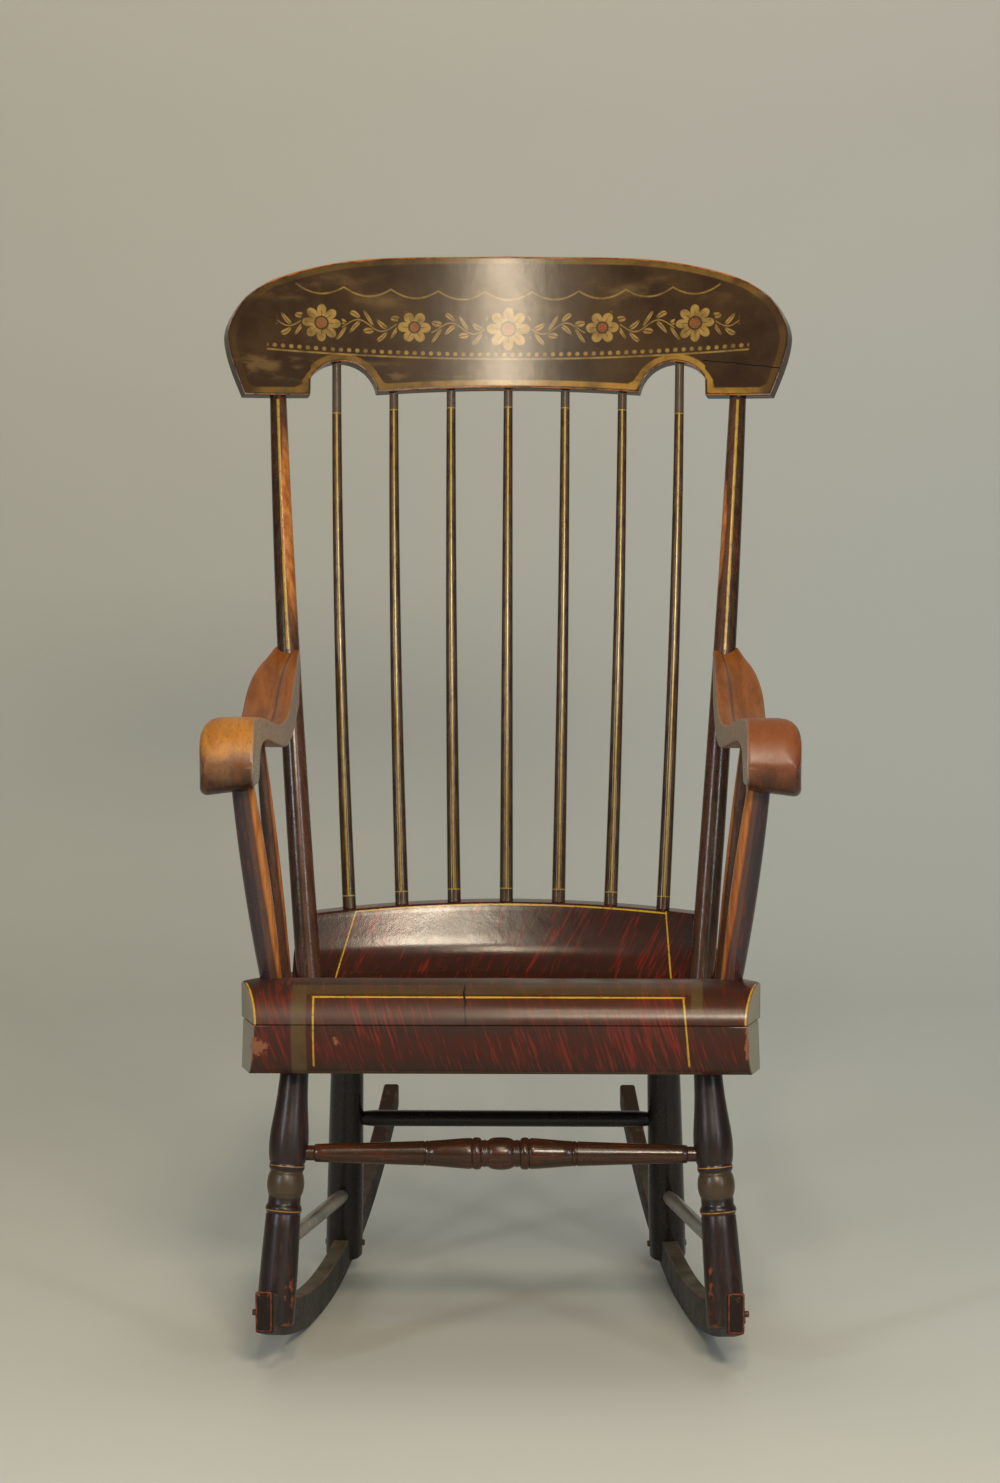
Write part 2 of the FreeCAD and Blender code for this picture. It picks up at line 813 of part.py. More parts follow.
def front_leg_edges():
    def at(height, radius):
        return Vector(radius, 0, along(front_leg_foot, front_leg_top, height))

    ring = front_leg_ring_half
    ball = front_leg_ball_height
    low_ring = front_leg_lower_ring_height
    high_ring = front_leg_upper_ring_height
    neck = front_leg_waist_radius
    foot_z = front_leg_foot_height
    top_z = front_leg_top.z + bury
    ring_edge = front_leg_ring_radius - front_leg_ring_step
    rim = at(foot_z + foot_chamfer, front_leg_foot_radius)
    shank = at(low_ring - ring - front_leg_groove, front_leg_shank_radius)
    shank_middle = at((foot_z + low_ring) / 2, front_leg_waist_radius + front_leg_shank_swell)
    ring_low = at(low_ring - ring, ring_edge)
    ring_high = at(low_ring + ring, ring_edge)
    cushion_low = at(high_ring - ring, ring_edge)
    cushion_high = at(high_ring + ring, ring_edge)
    ball_low = at(ball - front_leg_ball_half, neck)
    ball_high = at(ball + front_leg_ball_half, neck)
    groove_low = at(low_ring + ring + front_leg_groove, neck)
    groove_high = at(high_ring - ring - front_leg_ring_step, neck)
    top = at(top_z, front_leg_neck_radius)
    return [
        line(at(foot_z, 0), at(foot_z, front_leg_foot_radius - foot_chamfer)),
        line(at(foot_z, front_leg_foot_radius - foot_chamfer), rim),
        arc(rim, shank_middle, shank),
        line(shank, ring_low),
        arc(ring_low, at(low_ring, front_leg_ring_radius + front_leg_ring_swell), ring_high),
        line(ring_high, groove_low),
        line(groove_low, ball_low),
        arc(ball_low, at(ball, front_leg_ball_radius), ball_high),
        line(ball_high, groove_high),
        line(groove_high, cushion_low),
        arc(cushion_low, at(high_ring, front_leg_ring_radius), cushion_high),
        spline(
            [
                cushion_high,
                at(front_leg_swell_height, front_leg_swell_radius),
                at(front_leg_shoulder_height, front_leg_shoulder_radius),
                top,
            ]
        ),
        line(top, at(top_z, 0)),
        line(at(top_z, 0), at(foot_z, 0)),
    ]


def rear_leg_edges():
    long = (rear_leg_top - rear_leg_foot).Length + bury

    def at(distance, radius):
        return Vector(radius, 0, distance)

    rim = at(foot_chamfer * 2, rear_leg_foot_radius)
    swell = at(long / 2, (rear_leg_foot_radius + rear_leg_middle_radius) / 2)
    shoulder = at(long * 3 / 4, rear_leg_middle_radius)
    top = at(long, rear_leg_neck_radius)
    return [
        line(at(0, 0), at(0, rear_leg_foot_radius - foot_chamfer)),
        line(at(0, rear_leg_foot_radius - foot_chamfer), rim),
        spline([rim, swell, shoulder, top]),
        line(top, at(long, 0)),
        line(at(long, 0), at(0, 0)),
    ]


def leg(edges, foot, top, neck_radius):
    way = (top - foot).normalize()
    body = turned(edges, foot, top).cut(plank_blank).cut(rocker_slot)
    start = top - way * bury
    radius = neck_radius * tenon_share
    long = leg_tenon_length + bury
    hole = peg(start, way, radius + fit_clearance, long + fit_clearance)
    return with_pegs(body, [peg(start, way, radius, long)]), hole


front_leg, front_leg_hole = leg(front_leg_edges(), front_leg_foot, front_leg_top, front_leg_neck_radius)
rear_leg, rear_leg_hole = leg(rear_leg_edges(), rear_leg_foot, rear_leg_top, rear_leg_neck_radius)


# Stretchers run between the middles of the legs, with round tenons in blind holes
def front_stretcher_edges(half):
    neck_x = front_stretcher_ball_width / 2
    bead_in = front_stretcher_bead_x - front_stretcher_bead_width / 2
    bead_out = front_stretcher_bead_x + front_stretcher_bead_width / 2
    cut = front_stretcher_line_cut
    wide = front_stretcher_line_width
    line_x = front_stretcher_line_x
    collar = half - front_stretcher_collar_length
    edge = front_stretcher_edge
    shoulder = front_stretcher_bead_radius - front_stretcher_bead_shoulder
    side = [
        (neck_x, front_stretcher_neck_radius),
        (bead_in, front_stretcher_neck_radius),
        (bead_in + edge, shoulder),
        (front_stretcher_bead_x, front_stretcher_bead_radius),
        (bead_out - edge, shoulder),
        (bead_out, front_stretcher_swell_radius - front_stretcher_bead_shoulder * 2),
        (front_stretcher_swell_x, front_stretcher_swell_radius),
        (line_x - wide / 2, front_stretcher_line_radius),
        (line_x, front_stretcher_line_radius - cut),
        (line_x + wide / 2, front_stretcher_line_radius),
        (collar - edge, front_stretcher_end_radius),
        (collar, front_stretcher_collar_radius),
        (half, front_stretcher_collar_radius),
    ]
    right = [Vector(radius, 0, x) for x, radius in side]
    left = [Vector(radius, 0, -x) for x, radius in side]
    edges = [arc(left[0], Vector(front_stretcher_bead_radius, 0, 0), right[0])]
    for chain in (right, left):
        for start, end in zip(chain, chain[1:]):
            edges.append(line(start, end))
    edges.append(line(right[-1], Vector(0, 0, half)))
    edges.append(line(Vector(0, 0, half), Vector(0, 0, -half)))
    edges.append(line(Vector(0, 0, -half), left[-1]))
    return Part.__sortEdges__(edges)


def plain_stretcher_edges(half, radius, end_radius, taper):
    points = [(-half, end_radius), (-half + taper, radius), (half - taper, radius), (half, end_radius)]
    chain = [Vector(0, 0, -half)] + [Vector(r, 0, x) for x, r in points] + [Vector(0, 0, half)]
    edges = [line(start, end) for start, end in zip(chain, chain[1:])]
    edges.append(line(chain[-1], chain[0]))
    return edges


def stretcher(make_edges, start, end, end_radius, legs):
    way = (end - start).normalize()
    middle = (start + end) / 2
    half = (end - start).Length / 2
    edges = make_edges(half)
    face = Part.Face(Part.Wire(edges))
    body = face.revolve(centre, upward, 360)
    body.Placement = FreeCAD.Placement(middle, FreeCAD.Rotation(upward, way))
    body = cut_all(body, legs)
    radius = end_radius * tenon_share
    reach = half - stretcher_tenon_gap
    round_peg = peg(middle - way * reach, way, radius, 2 * reach)
    hole = peg(
        middle - way * (reach + fit_clearance), way, radius + fit_clearance, 2 * (reach + fit_clearance)
    )
    return body.fuse(round_peg).removeSplitter(), hole


def opposite(point):
    return Vector(-point.x, point.y, point.z)


front_joint = leg_point(front_leg_foot, front_leg_top, front_stretcher_height)
front_stretcher, front_stretcher_hole = stretcher(
    front_stretcher_edges, opposite(front_joint), front_joint, front_stretcher_collar_radius,
    both_sides(front_leg),
)
rear_joint = leg_point(rear_leg_foot, rear_leg_top, rear_stretcher_height)
rear_stretcher, rear_stretcher_hole = stretcher(
    lambda half: plain_stretcher_edges(
        half, rear_stretcher_radius, rear_stretcher_end_radius, rear_stretcher_taper + rear_leg_middle_radius
    ),
    opposite(rear_joint), rear_joint, rear_stretcher_end_radius, both_sides(rear_leg),
)
side_front = leg_point(front_leg_foot, front_leg_top, side_stretcher_front_height)
side_rear = leg_point(rear_leg_foot, rear_leg_top, side_stretcher_rear_height)
side_stretcher, side_stretcher_hole = stretcher(
    lambda half: plain_stretcher_edges(
        half, side_stretcher_radius, side_stretcher_end_radius, side_stretcher_taper
    ),
    side_front, side_rear, side_stretcher_end_radius, [front_leg, rear_leg],
)
front_leg = cut_all(front_leg, [front_stretcher_hole, side_stretcher_hole])
rear_leg = cut_all(rear_leg, [rear_stretcher_hole, side_stretcher_hole])


# Wooden pins hold the rockers in the slots of the legs and the crest rail on the stiles
def rocker_pin(foot, leg_radius):
    height = (foot.z + rocker_underside(foot.y) + rocker_middle_height) / 2
    centre = rocker_centre(foot.y, height)
    reach = leg_radius + rocker_pin_proud
    start = centre - rocker_side_way * reach
    pin = peg(start, rocker_side_way, rocker_pin_radius, 2 * reach)
    hole_start = start - rocker_side_way * rocker_pin_proud
    hole_length = 2 * (reach + rocker_pin_proud)
    return pin, peg(hole_start, rocker_side_way, rocker_pin_radius + fit_clearance, hole_length)


front_pin, front_pin_hole = rocker_pin(front_leg_foot, front_leg_foot_radius)
rear_pin, rear_pin_hole = rocker_pin(rear_leg_foot, rear_leg_foot_radius)
front_leg = front_leg.cut(front_pin_hole)
rear_leg = rear_leg.cut(rear_pin_hole)
right_rocker = cut_all(rocker_blank, [front_pin_hole, rear_pin_hole])

crest_back = crest_front * -1
pin_place = on_crest(stile_top_x, crest_pin_set_in - stile_top_drop, crest_bow(stile_top_x))
pin_turn = math.asin(stile_top_x / crest_bow_radius)
pin_way = crest_back * math.cos(pin_turn) + across * math.sin(pin_turn)
pin_depth = crest_thickness / 4
pin_start = pin_place - pin_way * pin_depth
pin_hole_start = pin_start - pin_way * fit_clearance
crest_pin = peg(pin_start, pin_way, crest_pin_radius, crest_thickness / 2 + pin_depth)
crest_pin_hole = peg(pin_hole_start, pin_way, crest_pin_radius + fit_clearance, crest_thickness)
right_stile = right_stile.cut(crest_pin_hole)

seat_holes = both_sides(stile_sockets[0]) + both_sides(post_holes[0]) + both_sides(prop_holes[0])
seat_holes += both_sides(front_leg_hole) + both_sides(rear_leg_hole)
seat_plank = cut_all(plank_blank, seat_holes)
riser = cut_all(riser_blank, both_sides(stile_hole) + spindle_feet)
crest_rail = cut_all(crest_blank, both_sides(stile_sockets[1]) + spindle_tops + both_sides(crest_pin_hole))

nodes = {
    "seat_plank": seat_plank,
    "seat_front_roll": apron,
    "seat_riser": riser,
    "crest_rail": crest_rail,
    "front_stretcher": front_stretcher,
    "rear_stretcher": rear_stretcher,
    "rocker_pins": Part.makeCompound(both_sides(front_pin) + both_sides(rear_pin)),
    "crest_pins": Part.makeCompound(both_sides(crest_pin)),
}
for number, spindle in enumerate(spindles):
    nodes["back_spindle_%d" % (number + 1)] = spindle
right_pieces = {
    "stile": right_stile,
    "arm": right_arm,
    "front_arm_post": right_post,
    "rear_arm_prop": right_prop,
    "front_leg": front_leg,
    "rear_leg": rear_leg,
    "side_stretcher": side_stretcher,
    "rocker": right_rocker,
}
for name, shape in right_pieces.items():
    nodes["right_" + name] = shape
    nodes["left_" + name] = mirrored(shape)

shift = backward * (-rocker_length / 2)
os.makedirs("parts", exist_ok=True)
for name, shape in nodes.items():
    shape = shape.copy()
    shape.translate(shift)
    shape.exportStep("parts/%s.step" % name)
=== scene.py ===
import bpy
import bmesh
import math
from mathutils import Matrix, Vector


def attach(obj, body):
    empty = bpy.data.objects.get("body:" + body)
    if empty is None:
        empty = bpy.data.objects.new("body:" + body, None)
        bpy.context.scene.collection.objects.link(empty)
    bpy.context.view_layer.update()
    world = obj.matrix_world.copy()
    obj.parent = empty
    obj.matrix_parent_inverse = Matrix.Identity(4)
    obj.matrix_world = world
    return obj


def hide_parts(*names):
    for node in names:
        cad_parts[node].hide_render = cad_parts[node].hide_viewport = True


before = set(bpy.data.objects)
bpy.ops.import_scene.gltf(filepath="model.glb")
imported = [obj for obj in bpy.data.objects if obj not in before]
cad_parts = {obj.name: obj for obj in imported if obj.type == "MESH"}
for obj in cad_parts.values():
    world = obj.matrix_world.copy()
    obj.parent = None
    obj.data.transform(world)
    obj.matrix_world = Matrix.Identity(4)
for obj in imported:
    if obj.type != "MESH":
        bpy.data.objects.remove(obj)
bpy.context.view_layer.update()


# Seat plank: a pine board sawn to shape, scooped for the sitter, its front edge planed to a
# rolled nose. It slopes down to the back, and its ends flare out behind the nose, then draw in.
# It is painted black over red-brown, grained in slanting streaks, and varnished.
MM = 0.001
FRONT_TO_MIDDLE = 356.0


def place(x, depth, height):
    return Vector((x, depth - FRONT_TO_MIDDLE, height)) * MM


def loft(rings, **marks):
    """Skin a row of closed rings of points, and write each mark on its vertices."""
    shape = bmesh.new()
    layers = {name: shape.verts.layers.float.new(name) for name in marks}
    ring = bmesh.ops.create_circle(shape, segments=len(rings[0]), radius=1.0)["verts"]
    rows = [ring]
    for points in rings[1:]:
        edges = [shape.edges.get((ring[i], ring[i - 1])) for i in range(len(ring))]
        made = bmesh.ops.extrude_edge_only(shape, edges=edges)["geom"]
        follow = {}
        for vert in made:
            if isinstance(vert, bmesh.types.BMVert):
                for edge in vert.link_edges:
                    follow[edge.other_vert(vert)] = vert
        ring = [follow[vert] for vert in ring]
        rows.append(ring)
    for row, points in zip(rows, rings):
        for vert, point in zip(row, points):
            vert.co = point
    for name, values in marks.items():
        for row, numbers in zip(rows, values):
            for vert, number in zip(row, numbers):
                vert[layers[name]] = number
    return shape, rows


def close_end(shape, ring):
    bmesh.ops.contextual_create(shape, geom=list(ring))


def close_pairs(shape, ring):
    """Close a ring whose two halves face each other, with a ladder of four-sided faces."""
    low, high = 0, len(ring) - 1
    while high - low > 1:
        corners = [ring[low], ring[low + 1], ring[high - 1], ring[high]]
        bmesh.ops.contextual_create(shape, geom=list(dict.fromkeys(corners)))
        low, high = low + 1, high - 1


def inset_loop(loop, distance):
    """Move each point of a flat closed loop inwards, square to its two neighbours."""
    count = len(loop)
    area = sum(loop[i - 1][0] * loop[i][1] - loop[i][0] * loop[i - 1][1] for i in range(count))
    side = 1.0 if area > 0 else -1.0
    moved = []
    for i in range(count):
        before, here, after = loop[i - 1], loop[i], loop[(i + 1) % count]
        way = Vector((after[0] - before[0], after[1] - before[1])).normalized()
        moved.append((here[0] - way.y * side * distance, here[1] + way.x * side * distance))
    return moved


def put_in_scene(name, shape, material, nodes, sharp=40.0, weighted=True):
    bmesh.ops.recalc_face_normals(shape, faces=shape.faces)
    mesh = bpy.data.meshes.new(name)
    shape.to_mesh(mesh)
    shape.free()
    mesh.shade_smooth()
    mesh.set_sharp_from_angle(angle=math.radians(sharp))
    mesh.materials.append(material)
    piece = bpy.data.objects.new(name, mesh)
    bpy.context.collection.objects.link(piece)
    if weighted:
        weight = piece.modifiers.new("even shading", "WEIGHTED_NORMAL")
        weight.keep_sharp = True
    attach(piece, "root")
    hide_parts(*nodes)


def add(tree, kind, values=None, **settings):
    made = tree.nodes.new("ShaderNode" + kind)
    for key, value in settings.items():
        setattr(made, key, value)
    for key, value in (values or {}).items():
        if isinstance(value, bpy.types.NodeSocket):
            tree.links.new(value, made.inputs[key])
        else:
            made.inputs[key].default_value = value
    return made


def calc(operation, *values, clamp=False):
    """A math node in the node tree that its linked values come from."""
    tree = next(value.id_data for value in values if isinstance(value, bpy.types.NodeSocket))
    return add(tree, "Math", dict(enumerate(values)), operation=operation, use_clamp=clamp).outputs[0]


def in_turn(operation, first, *others, clamp=False):
    """One operation on two or more values, from left to right."""
    for other in others[:-1]:
        first = calc(operation, first, other)
    return calc(operation, first, others[-1], clamp=clamp)


def plus(*values, clamp=False):
    return in_turn("ADD", *values, clamp=clamp)


def minus(first, second):
    return calc("SUBTRACT", first, second)


def times(*values, clamp=False):
    return in_turn("MULTIPLY", *values, clamp=clamp)


def scaled(value, factor, start, clamp=False):
    """The value times the factor, plus the start."""
    return calc("MULTIPLY_ADD", value, factor, start, clamp=clamp)


def larger(*values):
    return in_turn("MAXIMUM", *values)


def without_sign(value):
    return calc("ABSOLUTE", value)


def ramp(value, low, high):
    """0 at low and 1 at high, smooth between them."""
    values = {0: value, 1: low, 2: high}
    return add(value.id_data, "MapRange", values, interpolation_type="SMOOTHSTEP").outputs[0]


def mix(share, first, second):
    return add(share.id_data, "Mix", {0: share, 6: first, 7: second}, data_type="RGBA").outputs[2]


def noise(vector, scale, detail=3.0, roughness=0.5, distortion=0.0):
    values = {"Vector": vector, "Scale": scale, "Detail": detail, "Roughness": roughness,
              "Distortion": distortion}
    return add(vector.id_data, "TexNoise", values).outputs["Fac"]


def stretched(vector, scale=(1.0, 1.0, 1.0), turn=(0.0, 0.0, 0.0)):
    """The vector turned and then scaled, so that what is drawn on it runs long one way."""
    values = {"Vector": vector, "Rotation": turn, "Scale": scale}
    return add(vector.id_data, "Mapping", values).outputs[0]


def axes(vector):
    return add(vector.id_data, "SeparateXYZ", {0: vector}).outputs


def new_group(name, inputs, outputs):
    tree = bpy.data.node_groups.new(name, "ShaderNodeTree")
    for label, kind, value in inputs:
        socket = tree.interface.new_socket(name=label, in_out="INPUT", socket_type="NodeSocket" + kind)
        if value is not None:
            socket.default_value = value
    for label, kind in outputs:
        tree.interface.new_socket(name=label, in_out="OUTPUT", socket_type="NodeSocket" + kind)
    into = tree.nodes.new("NodeGroupInput")
    out = tree.nodes.new("NodeGroupOutput")
    return tree, into.outputs, out.inputs


def varnish_group():
    tree, into, out = new_group(
        "old varnish",
        [("Vector", "Vector", None), ("Gloss", "Float", 0.2), ("Dust", "Float", 0.12)],
        [("Roughness", "Float"), ("Height", "Float")],
    )
    cloud = noise(into["Vector"], 22.0, 4.0, 0.6)
    grit = noise(into["Vector"], 420.0, 2.0, 0.6)
    lumps = noise(into["Vector"], 95.0, 3.0, 0.5)
    spread = times(ramp(cloud, 0.4, 0.75), into["Dust"])
    fine = times(ramp(grit, 0.5, 0.75), times(into["Dust"], 0.6))
    rough = plus(into["Gloss"], spread, fine)
    height = plus(times(lumps, 0.75), times(grit, 0.25))
    tree.links.new(rough, out["Roughness"])
    tree.links.new(height, out["Height"])
    return tree


def graining_group():
    """Thin red-brown streaks dragged through dark paint, along the second axis of the vector."""
    tree, into, out = new_group(
        "rosewood graining",
        [("Vector", "Vector", None), ("Dark", "Color", (0.02, 0.01, 0.007, 1)),
         ("Red", "Color", (0.2, 0.02, 0.012, 1)), ("Amount", "Float", 0.5)],
        [("Color", "Color")],
    )
    long_way = stretched(into["Vector"], (1.0, 0.05, 1.0))
    strands = noise(long_way, 270.0, 3.0, 0.6, 0.2)
    threads = noise(long_way, 720.0, 2.0, 0.55)
    patch = noise(into["Vector"], 9.0, 3.0, 0.5)
    level = scaled(minus(threads, 0.5), 0.8, strands)
    level = scaled(minus(patch, 0.5), 0.55, level)
    over = minus(level, scaled(into["Amount"], -0.34, 0.72))
    streaks = times(over, 5.0, clamp=True)
    wash = times(plus(over, 0.16), 1.5, clamp=True)
    share = scaled(streaks, 0.7, times(wash, 0.25), clamp=True)
    tree.links.new(mix(share, into["Dark"], into["Red"]), out["Color"])
    return tree


def worn_group():
    """Where hands, shoes and cloth have rubbed the paint off the arrises and down to bare wood."""
    tree, into, out = new_group(
        "worn arrises",
        [("Vector", "Vector", None), ("Arris", "Float", 0.0), ("Amount", "Float", 0.5)],
        [("Mask", "Float")],
    )
    chips = noise(into["Vector"], 130.0, 5.0, 0.65)
    long_chips = noise(into["Vector"], 24.0, 3.0, 0.6)
    rub = plus(times(chips, 0.55), times(long_chips, 0.6))
    limit = minus(1.28, times(into["Amount"], 0.75))
    level = minus(plus(times(into["Arris"], 0.5), rub), limit)
    tree.links.new(times(level, 9.0, clamp=True), out["Mask"])
    return tree


def line_group():
    """A line of yellow striping paint, drawn by hand: its width and strength waver."""
    tree, into, out = new_group(
        "striped line",
        [("Vector", "Vector", None), ("Distance", "Float", 0.0), ("Half width", "Float", 0.0011)],
        [("Mask", "Float")],
    )
    waver = noise(into["Vector"], 60.0, 2.0, 0.5)
    worn = noise(into["Vector"], 210.0, 3.0, 0.6)
    away = without_sign(into["Distance"])
    width = times(into["Half width"], scaled(waver, 0.7, 0.65))
    soft = times(into["Half width"], 0.45)
    line = calc("DIVIDE", minus(width, away), soft)
    line = plus(line, 0.5, clamp=True)
    line = times(line, scaled(ramp(worn, 0.3, 0.5), 0.45, 0.55))
    tree.links.new(line, out["Mask"])
    return tree


VARNISH = varnish_group()
GRAINING = graining_group()
WORN = worn_group()
LINE = line_group()
STRIPE_YELLOW = (0.43, 0.25, 0.014, 1)
BARE_WOOD = (0.21, 0.075, 0.035, 1)
RED_GROUND = (0.17, 0.012, 0.007, 1)
DARK_GROUND = (0.026, 0.0095, 0.005, 1)
BLACK_PAINT = (0.017, 0.0095, 0.0075, 1)
BRONZE = (0.085, 0.055, 0.017, 1)
# Pale grey of the seat's front ends: a painted reflection of the pale room at a grazing angle.
PAINTED_END_SHEEN = (0.29, 0.255, 0.195, 1)
OPEN_CRACK = (0.006, 0.003, 0.002, 1)


def new_material(name):
    material = bpy.data.materials.new(name)
    material.use_nodes = True
    tree = material.node_tree
    shader = tree.nodes["Principled BSDF"]
    shader.inputs["IOR"].default_value = 1.43
    point = tree.nodes.new("ShaderNodeTexCoord").outputs["Object"]
    return material, tree, shader, point


def finish_surface(shader, point, colour, gloss=0.2, dust=0.12, bump=0.1):
    tree = point.id_data
    skin = add(tree, "Group", {"Vector": point, "Gloss": gloss, "Dust": dust}, node_tree=VARNISH)
    relief = add(tree, "Bump", {"Height": skin.outputs["Height"], "Strength": bump, "Distance": 0.0015})
    tree.links.new(colour, shader.inputs["Base Color"])
    tree.links.new(skin.outputs["Roughness"], shader.inputs["Roughness"])
    tree.links.new(relief.outputs[0], shader.inputs["Normal"])


def attribute(tree, name):
    return add(tree, "Attribute", attribute_name=name).outputs["Fac"]


def draw_line(point, distance, half_width):
    values = {"Vector": point, "Distance": distance, "Half width": half_width}
    return add(point.id_data, "Group", values, node_tree=LINE).outputs[0]


def grained(vector, dark, red, amount):
    values = {"Vector": vector, "Dark": dark, "Red": red, "Amount": amount}
    return add(vector.id_data, "Group", values, node_tree=GRAINING).outputs[0]


def between(value, low, high, soft=0.001):
    return times(ramp(value, low - soft, low + soft), minus(1.0, ramp(value, high - soft, high + soft)))


def rubbed_spot(point, centre, size, strength):
    """A place knocked or rubbed down to the wood, with a broken edge."""
    tree = point.id_data
    chips = noise(point, 150.0, 4.0, 0.6)
    gap = add(tree, "VectorMath", {0: point, 1: centre}, operation="SUBTRACT").outputs[0]
    gap = add(tree, "VectorMath", {0: gap, 1: size}, operation="DIVIDE").outputs[0]
    reach = add(tree, "VectorMath", {0: gap}, operation="LENGTH").outputs["Value"]
    level = scaled(minus(chips, 0.5), 1.6, minus(strength, times(reach, strength)))
    return times(ramp(level, 0.2, 0.45), ramp(reach, 1.25, 0.9))


def rubbed_wood(point, arris, amount, spots=()):
    """Rubbed arrises, and the spots, each with a centre, a size and a strength."""
    values = {"Vector": point, "Arris": arris, "Amount": amount}
    rubbed = add(point.id_data, "Group", values, node_tree=WORN).outputs[0]
    for spot in spots:
        rubbed = larger(rubbed, rubbed_spot(point, *spot))
    return rubbed


def seat_material(name, slope, lines, glow, wear=0.5, amount=0.5, gloss=(0.25, 0.25), spots=()):
    """Grained seat paint, warmer in the glow: its low and high edge and its colour. The gloss runs
    from left to right. The lines function returns the masks of yellow line, bronze band and crack."""
    material, tree, shader, point = new_material(name)
    slanted = stretched(point, (1.0, 0.08, 1.0), (math.radians(90), 0.0, slope))
    right, back, up = axes(point)
    uneven = ramp(noise(point, 14.0, 4.0, 0.6), 0.25, 0.7)
    warmth = times(between(up, glow[0], glow[1], 0.009), scaled(uneven, 0.6, 0.4))
    ground = mix(warmth, DARK_GROUND, glow[2])
    colour = grained(slanted, ground, RED_GROUND, amount)
    yellow, bronze, crack = lines(point)
    if bronze is not None:
        colour = mix(bronze, colour, BRONZE)
    colour = mix(yellow, colour, STRIPE_YELLOW)
    rubbed = rubbed_wood(point, attribute(tree, "arris"), wear, spots)
    # Painted reflection: the front ends of the seat are pale grey, kept to the front.
    fore = times(ramp(back, -0.262, -0.288), 0.85)
    colour = mix(times(attribute(tree, "end"), fore), colour, PAINTED_END_SHEEN)
    colour = mix(rubbed, colour, BARE_WOOD)
    if crack is not None:
        colour = mix(crack, colour, OPEN_CRACK)
    rough = scaled(ramp(right, -0.10, 0.06), gloss[1] - gloss[0], gloss[0])
    finish_surface(shader, point, colour, gloss=rough, dust=0.05, bump=0.10)
    return material


SEAT_LINE_Y = -0.326


def seat_lines(point):
    """Masks of the yellow lines, the bronze band and the crack at the seat's front edge."""
    x, y, z = axes(point)
    below = ramp(y, SEAT_LINE_Y - 0.0002, SEAT_LINE_Y - 0.0014)
    left = draw_line(point, plus(x, 0.185), 0.0009)
    drift = scaled(z, -0.09, 0.21535)
    right = draw_line(point, minus(x, drift), 0.0009)
    uprights = times(larger(left, right), below, ramp(z, 0.3035, 0.3055))
    level = draw_line(point, minus(y, SEAT_LINE_Y), 0.0009)
    level = times(level, between(x, -0.1862, 0.1828, 0.0007), ramp(z, 0.354, 0.356))
    edge = minus(scaled(y, 0.28, 0.3375), without_sign(x))
    ends = times(draw_line(point, edge, 0.0010), ramp(y, -0.298, -0.302), ramp(z, 0.3540, 0.3548))
    yellow = larger(uprights, level, ends)
    fore = ramp(y, -0.305, -0.308)
    wide = times(between(x, -0.207, -0.192), fore)
    over = times(between(x, -0.207, 0.2005), between(y, -0.3225, -0.306))
    short = times(between(x, 0.1886, 0.2005), between(z, 0.3665, 0.39))
    band = larger(wide, times(over, 0.7), short)
    band = times(band, scaled(noise(point, 60.0), 0.9, 0.2), clamp=True)
    wander = scaled(noise(point, 45.0, 2.0), 0.008, 0.0312)
    gap = without_sign(plus(x, wander))
    crack = times(ramp(gap, 0.0013, 0.0006), ramp(y, -0.292, -0.296), ramp(z, 0.354, 0.3545))
    return yellow, band, crack


NOSE_DEPTH = 15.0
CROWN_DEPTH = 62.0
NOSE_HEIGHT = 354.5
CROWN_HEIGHT = 390.0
REAR_HEIGHT = 327.0
DISH = (232.0, 351.0)
DISH_SLOPE = -0.21
FLAT_DEPTH = 376.0
REAR_DEPTH = 452.8
PLANK_THICKNESS = 37.0
UNDER_START = 55.0
END_ROUND = 2.0
SEAT_STEPS = 24


def seat_half_width(depth):
    """Half the seat's width: the ends flare to the roll, cove in and run straight to the back."""
    marks = [(15.0, 244.5), (66.0, 259.5), (72.0, 253.5), (79.0, 249.0), (90.0, 246.3), (104.0, 245.0),
             (452.8, 231.8)]
    for (start, wide), (end, wider) in zip(marks, marks[1:]):
        if depth <= end:
            share = max(0.0, (depth - start) / (end - start))
            return wide + (wider - wide) * share
    return marks[-1][1]


def flowing(start, end, first, last, at):
    """Height on the smooth curve from start to end, which has these slopes at its two ends."""
    run = end[0] - start[0]
    s = (at - start[0]) / run
    return ((2 * s ** 3 - 3 * s ** 2 + 1) * start[1] + (s ** 3 - 2 * s ** 2 + s) * run * first
            + (3 * s ** 2 - 2 * s ** 3) * end[1] + (s ** 3 - s ** 2) * run * last)


def plank_top(depth):
    if depth < CROWN_DEPTH:
        run = (CROWN_DEPTH - depth) / (CROWN_DEPTH - NOSE_DEPTH)
        return NOSE_HEIGHT + (CROWN_HEIGHT - NOSE_HEIGHT) * math.sqrt(max(0.0, 1.0 - run * run))
    if depth < DISH[0]:
        return flowing((CROWN_DEPTH, CROWN_HEIGHT), DISH, 0.0, DISH_SLOPE, depth)
    if depth < FLAT_DEPTH:
        return flowing(DISH, (FLAT_DEPTH, REAR_HEIGHT), DISH_SLOPE, 0.0, depth)
    return REAR_HEIGHT


def plank_under(depth):
    if depth < UNDER_START:
        return NOSE_HEIGHT
    share = (depth - UNDER_START) / (REAR_DEPTH - UNDER_START)
    return NOSE_HEIGHT + (REAR_HEIGHT - PLANK_THICKNESS - NOSE_HEIGHT) * share


